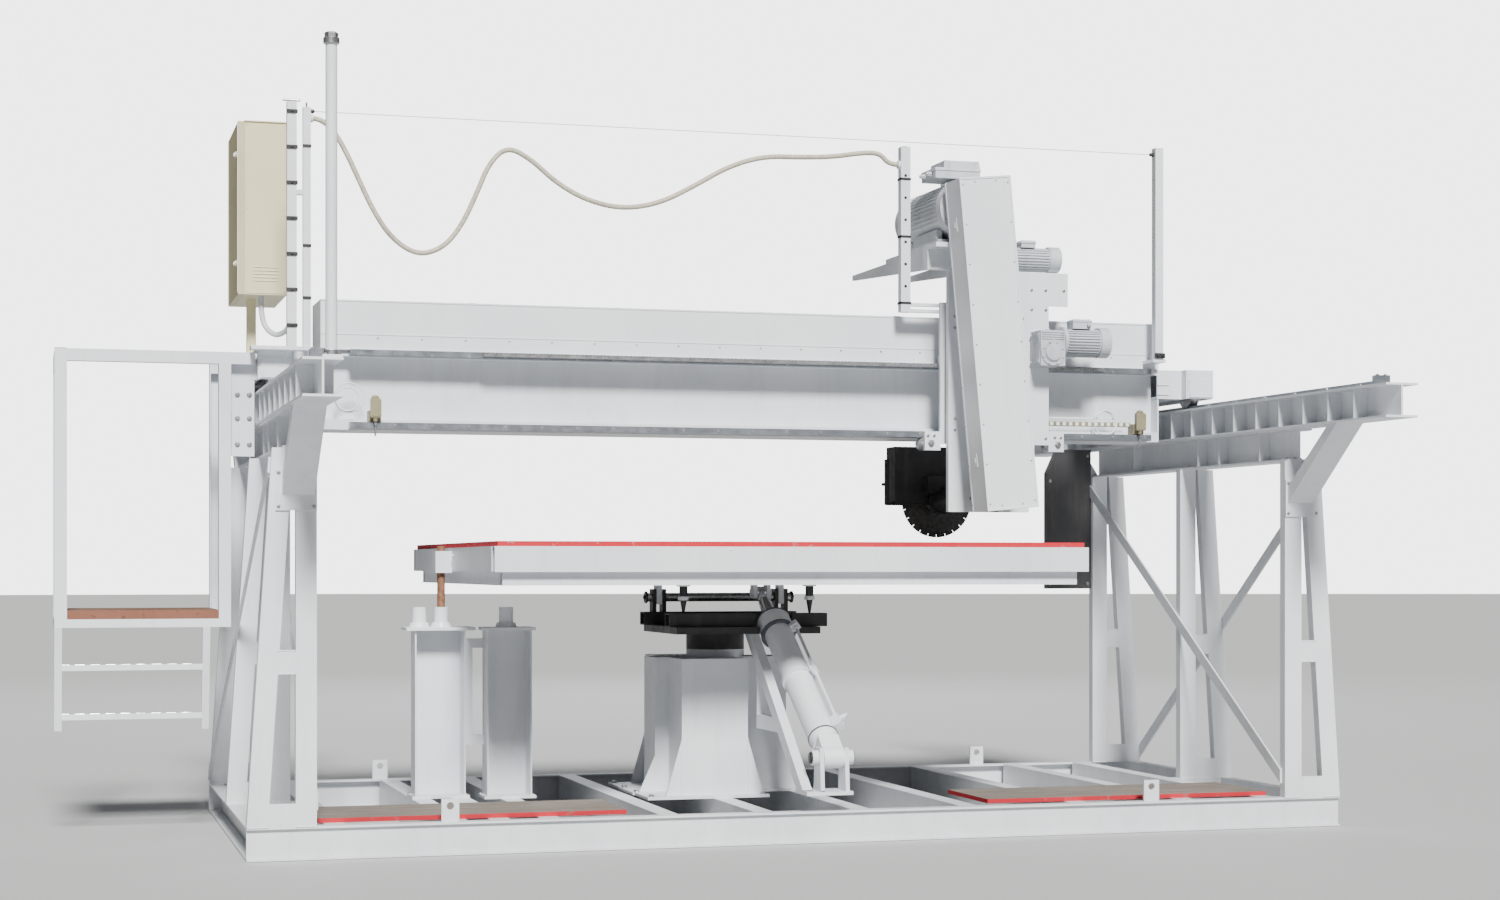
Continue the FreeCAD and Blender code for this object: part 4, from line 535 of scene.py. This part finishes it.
# frame: rail clips, bolts and weld beads
clips, bolts, welds = Shape(), Shape(), Shape()
for centre in RUNWAYS:
    for y in span_of(-1620, 1620, 13):
        for side in (-1, 1):
            inner, outer = sorted((centre + side * 24, centre + side * 50))
            clips.block((inner, outer), (y - 22, y + 22), (1875, 1882), 2)
            bolts.bolt("z", (centre + side * 39, y), 1882, 7)
    for end in (-1, 1):
        for offset in (-18, 18):
            bolts.bolt("z", (centre + offset, end * 1720), STOP_TOP, 7)
    for y in (-1028, -18, 979):
        for offset in (-32, 32):
            bolts.bolt("z", (centre + offset, y + 34), 1601, 9)
            bolts.bolt("z", (centre + offset, y - 34), 1601, 9)
    for y in span_of(-960, 940, 9):
        for offset in (-46, 46):
            bolts.bolt("z", (centre + offset, y), 1735 - 0.5, 7, -1)
for side in (-1, 1):
    for y in (-1050, -40, 957):
        near, far = sorted((265 + side * 2083, 265 + side * 2163))
        welds.bead((near, y, RAIL_TOP), (far, y, RAIL_TOP), 4)
        near, far = sorted((265 + side * 2270, 265 + side * 2350))
        welds.bead((near, y, RAIL_TOP), (far, y, RAIL_TOP), 4)
        near, far = sorted((265 + side * 2163, 265 + side * 2235))
        welds.bead((near, y, 720), (far, y, 720), 3)
        welds.bead((near, y, 810), (far, y, 810), 3)
for x in (-336, 209):
    for y in (-360, 340):
        bolts.bolt("z", (x + (22 if x < 0 else -22), y), FOOT_TOP, 12)
for x in (-320, 462):
    for y in (-115, 115):
        bolts.bolt("z", (x, y), FOOT_TOP, 12)
welds.bead((-170, -330, FOOT_TOP), (128, -330, FOOT_TOP), 4)
welds.bead((-232, -100, FOOT_TOP), (-170, -100, FOOT_TOP), 4)
welds.bead((-170, -330, FOOT_TOP), (-170, -330, 385), 3)
welds.bead((128, -330, FOOT_TOP), (128, -330, 385), 3)
for x, y, half in ((-1175, 20, 125), (-888, -70, 113)):
    for side in (-1, 1):
        bolts.bolt("z", (x + side * (half - 7), y - 70), FOOT_TOP, 5)
        bolts.bolt("z", (x + side * (half - 7), y + 70), FOOT_TOP, 5)
    for edge in (x - half + 15, x + half - 15):
        welds.bead((edge, y - 60, FOOT_TOP), (edge, y + 54, FOOT_TOP), 3)
for x in (-1295, 1725):
    welds.bead((x - 35, -1026, RAIL_TOP), (x + 35, -1026, RAIL_TOP), 4)
    welds.bead((x - 35, 994, RAIL_TOP), (x + 35, 994, RAIL_TOP), 4)
for x, z in ((2122, 1045), (2122, 1570), (2330, 1045), (2330, 1700)):
    bolts.bolt("y", (x, z), 980, 7, -1)
for side in (-1, 1):
    near, far = sorted((265 + side * 2095, 265 + side * 2230))
    for x in (near, far):
        for z in (1365, 1495):
            bolts.bolt("y", (x, z), -1058, 6, -1)
clips.done("rail_clips", "rail", "frame")
bolts.done("frame_bolts", "steel", "frame", 0.5)
welds.done("frame_welds", "white", "frame", 0, True)
fitting = Shape()
fitting.band("z", (-1854, -1830), (1885, 1903), 21, 27)
fitting.band("z", (-1854, -1830), (2992, 3012), 21, 29)
fitting.lathe("z", (-1854, -1830), [(3012, 24), (3030, 25), (3034, 18)], 6)
for x in (-1880, -1828):
    fitting.bolt("z", (x, -1866), 1885, 6)
    fitting.bolt("z", (x, -1794), 1885, 6)
fitting.done("supply_post_fittings", "steel", "frame")

# bridge: cover folds and screws, end plates, bearings, switch parts
folds, screws = Shape(), Shape()
folds.block((-1693, 2223), (-67.5, COVER_FRONT), (2126, 2131))
folds.block((-1693, 2223), (-69, COVER_FRONT), (2060, 2066))
folds.block((-1693, 2223), (-67.5, COVER_FRONT), (2268, COVER_TOP))
folds.block((-1693, 2223), (COVER_REAR, 247.5), (2126, 2131))
for x in (-1040, -390, 262, 914, 1566):
    folds.block((x - 14, x + 14), (-66.5, 246.5), (COVER_TOP, 2277))
    folds.block((x - 1.2, x + 1.2), (-66.6, COVER_FRONT), (2066, 2268))
for x in span_of(-1640, 2170, 21):
    screws.screw("y", (x, 2112), COVER_FRONT, 5, -1)
    screws.screw("y", (x, 2112), COVER_REAR, 5)
for x in span_of(-1640, 2170, 11):
    for y in (-45, 225):
        screws.screw("z", (x, y), COVER_TOP, 5)
folds.done("cover_folds", "cover", "bridge")
screws.done("cover_screws", "steel", "bridge", 0)
rails = Shape()
for x in span_of(-1540, 2130, 24):
    rails.lathe("y", (x, 2039), [(-112, 7), (-114, 7), (-114.2, 5), (-113, 4)], 12)
    rails.lathe("y", (x, 1737), [(-112, 7), (-114, 7), (-114.2, 5), (-113, 4)], 12)
rails.done("guide_screws", "steel", "bridge", 0)
ends = Shape()
for x, way in ((2223, 1), (-1693, -1)):
    low, high = sorted((x, x + way * 8))
    ends.block((low, high), (-50, 230), (1722, 1922))
    for y in (-25, 90, 205):
        for z in (1750, 1890):
            ends.bolt("x", (y, z), x + way * 8, 9, way)
    for z in (1985, 2030):
        for y in (-53, 233):
            ends.bead((x, y, z - 40), (x + way * 60, y, z - 40), 3)
ends.done("beam_end_plates", "white", "bridge")
bearings, hoods = Shape(), Shape()
for centre in RUNWAYS:
    for y in (10, 740):
        for way in (-1, 1):
            if (centre, y, way) == (RUNWAYS[1], 740, -1):
                continue
            face = centre + way * 70
            bearings.band("x", (y, WHEEL_AXIS), sorted((face, face + way * 9)), 16, 28)
            bearings.band("x", (y, WHEEL_AXIS), sorted((face, face + way * 5)), 16, 29, 4)
            for k in range(4):
                a = math.pi / 4 + k * math.pi / 2
                place = (y + 26 * math.cos(a), WHEEL_AXIS + 26 * math.sin(a) * 0.9)
                bearings.bolt("x", place, face + way * 5, 4, way)
    hoods.block((centre - 58, centre + 58), (-108, -100), (1932, 2018))
    hoods.block((centre - 64, centre + 64), (-104, -100), (1928, 2052))
    for dx in (-52, 52):
        for z in (1945, 2005, 2042):
            hoods.screw("y", (centre + dx, z), -108 if z < 2018 else -104, 5, -1)
bearings.done("axle_bearings", "motor", "bridge", 0.6)
hoods.done("truck_end_covers", "white", "bridge")
gear = Shape()
gear.fins("y", BRIDGE_MOTOR, (452, 660), 58, 64, 30)
gear.band("y", BRIDGE_MOTOR, (440, 470), 57, 65)
gear.grille("y", BRIDGE_MOTOR, 440, 60, -1)
for dx in (-50, 50):
    for z in (1915, 2055):
        gear.bolt("y", (2284 + dx, z), 680, 6, -1)
gear.done("bridge_motor_details", "motor", "bridge", 0.5)
case = Shape()
case.block((-1980, -1792), (343, 907), (3090, 3095), 2)
case.block((-1972, -1800), (347.5, 350), (2336, 2340))
case.block((-1972, -1968), (347.5, 350), (2340, 3084))
case.block((-1804, -1800), (347.5, 350), (2340, 3084))
for z in span_of(2390, 2450, 5):
    case.block((-1940, -1832), (346.5, 350), (z, z + 6), 1)
for x in (-1965, -1807):
    for z in (2346, 2710, 3078):
        case.screw("y", (x, z), 350, 5, -1)
case.done("cabinet_panels", "beige", "bridge")
# pale strips along the door's front and rear edges: painted highlight standing in for the lit door edge on
# the darker door; the two locks are real fittings
strip = Shape()
strip.block((-2008, -2005), (352, 362), (2338, 3082))
strip.block((-2007, -2005), (880, 896), (2338, 3082))
for z in (2470, 2950):
    strip.lathe("x", (410, z), [(-2013, 11), (-2017, 10), (-2018, 6)], 20)
    strip.block((-2021, -2017), (408, 412), (z - 7, z + 7))
strip.done("door_highlight_strips_and_locks", "cover", "door")
fittings, hooks = Shape(), Shape()
for z in range(2140, 3060, 150):
    fittings.block((-1849, -1801), (-185, -180), (z, z + 16))
    fittings.bolt("y", (-1825, z + 8), -185, 5, -1)
for z in (2260, 2480, 2900):
    fittings.block((-1780, -1744), (-180, -176), (z, z + 12))
fittings.lathe("x", (-160, 3055), [(-1744, 9), (-1734, 9), (-1728, 4)], 12)
fittings.lathe("x", (-160, 3055), [(2128, 4), (2136, 9), (2152, 9)], 12)
fittings.block((2146, 2198), (-188, -180), (2104, 2128))
fittings.bolt("y", (2160, 2116), -188, 6, -1)
fittings.bolt("y", (2184, 2116), -188, 6, -1)
fittings.done("mast_clamps", "black", "bridge")
hooks.lathe("z", (-1825, -160), [(3074, 5), (3100, 5), (3104, 4)], 12)
hooks.lathe("x", (-160, 3098), [(-1862, 4), (-1858, 5.5), (-1792, 5.5), (-1788, 4)], 12)
hooks.lathe("z", (-1762, -160), [(3070, 4), (3088, 4), (3092, 3)], 12)
hooks.done("mast_hooks", "steel", "bridge", 0)
switches, coils = Shape(), Shape()
for x in (-1468, 2098):
    switches.lathe("z", (x, -125), [(1850, 17), (1856, 17), (1862, 12), (1864, 5)], 20)
    switches.block((x - 24, x + 24), (-143, -140), (1772, 1846))
    for dx in (-14, 14):
        switches.screw("y", (x + dx, 1780), -143, 4, -1)
        switches.screw("y", (x + dx, 1838), -143, 4, -1)
switches.done("switch_details", "switch", "bridge", 0.5)
for number, (x, z, radius) in enumerate(((1938, 1800, 60), (1946, 1806, 56), (-1573, 1856, 62),
                                            (-1580, 1848, 50))):
    rows = []
    for k in range(40):
        a = 2 * math.pi * k / 40
        bend = Vector((x + radius * math.cos(a), -72 - 4 * number + 5 * math.sin(2 * a),
                       z + radius * math.sin(a)))
        out = Vector((math.cos(a), 0, math.sin(a)))
        rows.append([tuple(bend + out * (3.5 * math.cos(b)) + Vector((0, 3.5 * math.sin(b), 0)))
                     for b in (math.pi * j / 4 for j in range(8))])
    coils.loft(rows, True)
coils.done("spare_wire_coils", "cover", "bridge", 0, True)
rail = Shape()
for k in range(13):
    rail.block((1664 + 32 * k, 1680 + 32 * k), (-79, -76), (1790, 1806))
rail.block((1660, 2072), (-62, -50), (1822, 1830))
rail.done("switch_rail", "cover", "bridge", 0.5)
steps = Shape()
for low, offset in ((700, 43), (493, 90)):
    for k in range(9):
        x = -2765 + 62 * k
        steps.block((x, x + 40), (-100 + offset + 3, -100 + offset + 25), (low + 24, low + 26.5), 1)
for y in (-75, 475):
    steps.block((-2785, -2735), (y - 25, y + 25), (2036, 2039), 2)
for z in (1650, 1760, 1860):
    for x in (-2040, -1990):
        steps.bolt("y", (x, z), -50, 9, -1)
steps.done("platform_details", "steel", "bridge", 0.5)

# carriage: gearbox, motors, plate bolts
box = Shape()
box.band("y", GEARBOX, (-325, -320), 43, 59)
box.lathe("y", GEARBOX, [(-328, 40), (-334, 36), (-336, 20)], 28)
for k in range(8):
    a = math.pi * k / 4 + 0.39
    box.bolt("y", around(GEARBOX, 51, a), -325, 5, -1)
for z in (2166, 2176, 2186, 2196):
    box.block((1520, 1630), (-324, -320), (z, z + 4))
box.block((1511, 1515), (-310, -210), (2056, 2196), 3)
for y in (-300, -220):
    for z in (2066, 2186):
        box.bolt("x", (y, z), 1511, 5, -1)
box.lathe("z", (1575, -260), [(2206, 12), (2214, 12), (2218, 8)], 6)
box.fins("x", TRAVEL_MOTOR, (1652, 1812), 60, 68, 32, 2.6, [(math.pi / 2, 0.62)])
box.band("x", TRAVEL_MOTOR, (1815, 1865), 65, 69)
box.grille("x", TRAVEL_MOTOR, 1865, 64)
box.block((1682, 1778), (-298, -222), (2250, 2258))
box.block((1686, 1774), (-294, -226), (2258, 2263), 4)
for k in range(4):
    a = math.pi / 4 + k * math.pi / 2
    box.bolt("x", around(TRAVEL_MOTOR, 62, a), 1649, 5)
    box.screw("z", (1730 + 38 * (1 if k % 2 else -1), -260 + 28 * (1 if k > 1 else -1)), 2263, 3.5)
box.lathe("y", (1760, 2238), [(-295, 9), (-309, 9), (-313, 5)], 12)
box.done("travel_drive_details", "motor", "carriage", 0.6)
lift = Shape()
lift.fins("x", LIFT_MOTOR, (1443, 1608), 52, 58.5, 28, 2.6, [(math.pi / 2, 0.85)])
lift.band("x", LIFT_MOTOR, (1612, 1665), 56, 59)
lift.grille("x", LIFT_MOTOR, 1665, 55)
lift.block((1466, 1544), (-204, -116), (2614, 2622), 2)
lift.block((1470, 1540), (-200, -120), (2622, 2627), 3)
for k in range(4):
    a = math.pi / 4 + k * math.pi / 2
    lift.bolt("x", around(LIFT_MOTOR, 54, a), 1440, 4.5)
lift.block((1298, 1417), (-228, -225), (2490, 2590), 3)
for x in (1308, 1407):
    for z in (2500, 2580):
        lift.screw("y", (x, z), -228, 3.5, -1)
for x in (1305, 1410, 1660):
    lift.bolt("z", (x, -80), 2480, 6)
lift.done("lift_drive_details", "motor", "carriage", 0.6)
plate = Shape()
for x in (1110, 1190, 1370, 1470, 1500):
    for z in (2084, 2280):
        if abs(x - 1575) > 62:
            plate.bolt("y", (x, z), CARRIAGE_FACE, 6, -1)
for x, z in ((1015, 1725), (1045, 1725), (1635, 1725), (1665, 1725), (1520, 2310), (1590, 2310), (1520, 2400),
             (1590, 2400), (1680, 2400), (1500, 1720), (1590, 1720)):
    plate.bolt("y", (x, z), CARRIAGE_FACE, 6, -1)
for x in (1030, 1650):
    plate.lathe("y", (x, 1692), [(-200, 17), (-203, 17), (-203, 12), (-212, 12), (-214, 9)], 6)
for z in (2289, 2317):
    for x in (1090, 1130):
        plate.bolt("y", (x, z + 2), -180, 4.5)
plate.done("carriage_bolts", "steel", "carriage", 0.5)
bands = Shape()
for z in (2320, 2620, 2880):
    bands.block((890, 941), (-183, -180), (z, z + 10))
    bands.block((890, 893), (-183, -137), (z, z + 10))
bands.lathe("z", (915.5, -160), [(3030, 18), (3034, 16)], 4, math.pi / 4)
bands.done("mast_bands", "black", "carriage", 0.4)

# head: motor, belt cover in its leaning frame, slide plate, guard
motor = Shape()
motor.fins("y", MAIN_MOTOR, (-288, 148), 127, 134, 44, 3, [(math.pi / 2, 0.42), (-math.pi / 2, 1.0)])
motor.band("y", MAIN_MOTOR, (-354, -350), 30, 118)
motor.band("y", MAIN_MOTOR, (160, 246), 134, 136)
motor.grille("y", MAIN_MOTOR, 250, 128)
for k in range(6):
    a = math.pi / 6 + k * math.pi / 3
    motor.bolt("y", around(MAIN_MOTOR, 124, a), -350, 6, -1)
motor.block((1010, 1232), (-304, -116), (2912, 2925), 3)
motor.block((1054, 1228), (-300, -120), (2925, 2958), 4)
for x in (1068, 1214):
    for y in (-286, -134):
        motor.screw("z", (x, y), 2958, 5)
for y in (-250, -170):
    motor.lathe("x", (y, 2900), [(1014, 12), (996, 12), (994, 9), (986, 8)], 6)
motor.lathe("y", (1152, 2890), [(-40, 5), (-30, 5)], 12)
motor.band("y", (1152, 2888), (-44, -36), 9, 16)
for x in (1052, 1252):
    for y in (-250, 50):
        motor.bolt("z", (x, y), 2604, 8)
motor.done("main_motor_details", "motor", "head", 0.7)
LEAN = math.atan2(119, 1293)
HOOD = Matrix.Translation((1271, 0, 1447)) @ Matrix.Rotation(-LEAN, 4, "Y")
hood, hood_screws = Shape(HOOD), Shape(HOOD)
for x0, x1 in ((-121.5, -112), (112, 121.5)):
    hood.block((x0, x1), (-573, -569), (-61, 1406))
hood.block((-112, 112), (-573, -569), (1397, 1406))
hood.block((-112, 112), (-573, -569), (-61, -52))
for x0, x1 in ((-123, -120), (120, 123)):
    hood.block((x0, x1), (-404, -392), (-60, 1405))
hood.block((-120, 120), (-404, -392), (1405, 1408))
for z in (140, 1180):
    hood.block((-124.5, -120), (-500, -462), (z, z + 60), 1)
    hood.block((-128, -124.5), (-490, -472), (z + 18, z + 42), 1)
for z in span_of(-30, 1375, 9):
    hood_screws.screw("y", (-106, z), -570, 4.5, -1)
    hood_screws.screw("y", (106, z), -570, 4.5, -1)
    for x, way in ((-123, -1), (123, 1)):
        hood_screws.screw("x", (-398, z), x, 4, way)
for x in (-50, 50):
    hood_screws.screw("y", (x, 1385), -570, 4.5, -1)
    hood_screws.screw("y", (x, -40), -570, 4.5, -1)
hood.done("belt_cover_folds", "cover", "head")
hood_screws.done("belt_cover_screws", "steel", "head", 0)
slide = Shape()
for guide in (1130, 1400):
    for x in (guide - 9, guide + 49):
        for z in (1750, 1800, 2210, 2260):
            slide.bolt("y", (x, z), SLIDE_FACE, 6, -1)
for x in (1350, 1440):
    slide.bolt("y", (x, 1930), SLIDE_FACE, 6, -1)
for k in range(8):
    a = math.pi * k / 4 + 0.3
    slide.bolt("y", (1271 + 78 * math.cos(a), 1460 + 78 * math.sin(a) * 0.8), SLIDE_FACE, 5, -1)
for x in (1010, 1120, 1240):
    slide.bolt("z", (x, 280), 2580, 6)
slide.done("slide_bolts", "steel", "head", 0.5)
guard = Shape()
for y in (306, 428):
    guard.block((1036, 1466), (y, y + 6), (1425, 1431))
guard.block((1036, 1042), (312, 428), (1425, 1431))
for x in (1060, 1271, 1442):
    guard.screw("y", (x, 1685), 310, 6, -1)
    guard.screw("y", (x, 1685), 430, 6)
for x in (1060, 1442):
    guard.screw("y", (x, 1445), 310, 6, -1)
guard.bead((1180, 308, 1562), (1362, 308, 1562), 4)
guard.band("y", SPINDLE, (-366, -352), 62, 70)
guard.band("y", SPINDLE, (270, 296), 62, 68)
# the guard details are near-black: painted shade for the shadow under the beam
guard.done("guard_details", "black", "head", 0.6)
flange = Shape()
for k in range(6):
    a = math.pi * k / 3
    flange.screw("y", around(SPINDLE, 42, a), 386, 5)
flange.lathe("y", SPINDLE, [(386, 27), (406, 27), (409, 22)], 6)
flange.done("flange_screws", "steel", "spindle", 0.4)

# table, turntable and cylinder
table = Shape()
for x in (-1122, 1425):
    for y in (-983, 1020):
        table.bead((x, y, 1112), (x, y, 1214), 3)
for x in span_of(-1060, 1365, 9):
    table.screw("y", (x, 1202), -1043, 5, -1)
    table.screw("y", (x, 1202), 1080, 5)
for x in (-129, 452):
    table.lathe("z", (x, -200), [(985, 25), (999, 25), (1003, 20)], 6)
    table.lathe("z", (x, -200), [(1046, 30), (1058, 34)], 24)
    for dy in (-34, 34):
        table.bead((x - 13, 255 + dy * 0.8, 1058), (x + 13, 255 + dy * 0.8, 1058), 4)
for y in (-60, 100):
    table.bolt("x", (y, 1180), -1122, 7, -1)
table.done("table_details", "white", "table", 0.5)
turn = Shape()
for x in (-165, 130, 430):
    for y in (-278, 200):
        turn.bolt("z", (x, y), 868, 7)
for k in range(12):
    a = math.pi * k / 6
    turn.bolt("z", around(TURN_AXIS, 112, a), 838 - 0.2, 5, -1)
for x, way in ((-181, -1), (504, 1)):
    turn.band("x", TILT_HINGE, sorted((x, x + way * 9)), 10, 27)
    turn.bolt("x", TILT_HINGE, x + way * 9, 9, way)
for x, way in ((187, -1), (363, 1)):
    turn.lathe("x", CYLINDER_FOOT[1:], [(x, 24), (x + way * 6, 24), (x + way * 8, 14)], 24)
turn.bead((150, -1057, 215), (190, -1057, 215), 4)
turn.bead((213, -1100, 216), (230, -1100, 216), 3)
# the turntable details are near-black: painted shade for the shadow under the table
turn.done("turntable_details", "black", "turntable", 0.5)
RAM = Matrix.Translation(CYLINDER_FOOT) @ Matrix.Rotation(-math.atan2(1020, 668), 4, "X")
gland = Shape(RAM)
gland.band("z", (0, 0), (884, 892), 62, 79)
gland.band("z", (0, 0), (978, 985), 62, 78)
gland.band("z", (0, 0), (985, 991), 31, 46)
gland.band("z", (0, 0), (130, 137), 61, 65)
for k in range(8):
    a = math.pi * k / 4
    gland.bolt("z", around((0, 0), 60, a), 985, 6)
# the gland details take the near-black grey: painted shade for the shadowed collar
gland.done("gland_details", "grey", "barrel", 0.6)
PIPE = RAM @ Matrix.Rotation(math.radians(-40), 4, "Z")
pipe = Shape(PIPE)
for low, high in ((200, 216), (849, 865)):
    pipe.lathe("z", (84, 0), [(low, 13), (high, 13)], 6)
for side in (-1, 1):
    pipe.bolt("x", (side * 24, 540), 77, 8)
    pipe.bolt("x", (side * 12, 160), 100, 5)
pipe.lathe("x", (0, 180), [(100, 13), (116, 13), (122, 9), (134, 9)], 6)
pipe.block((77, 98), (-14, 14), (524, 556), 2)
pipe.done("pipe_fittings", "white", "barrel", 0.6)
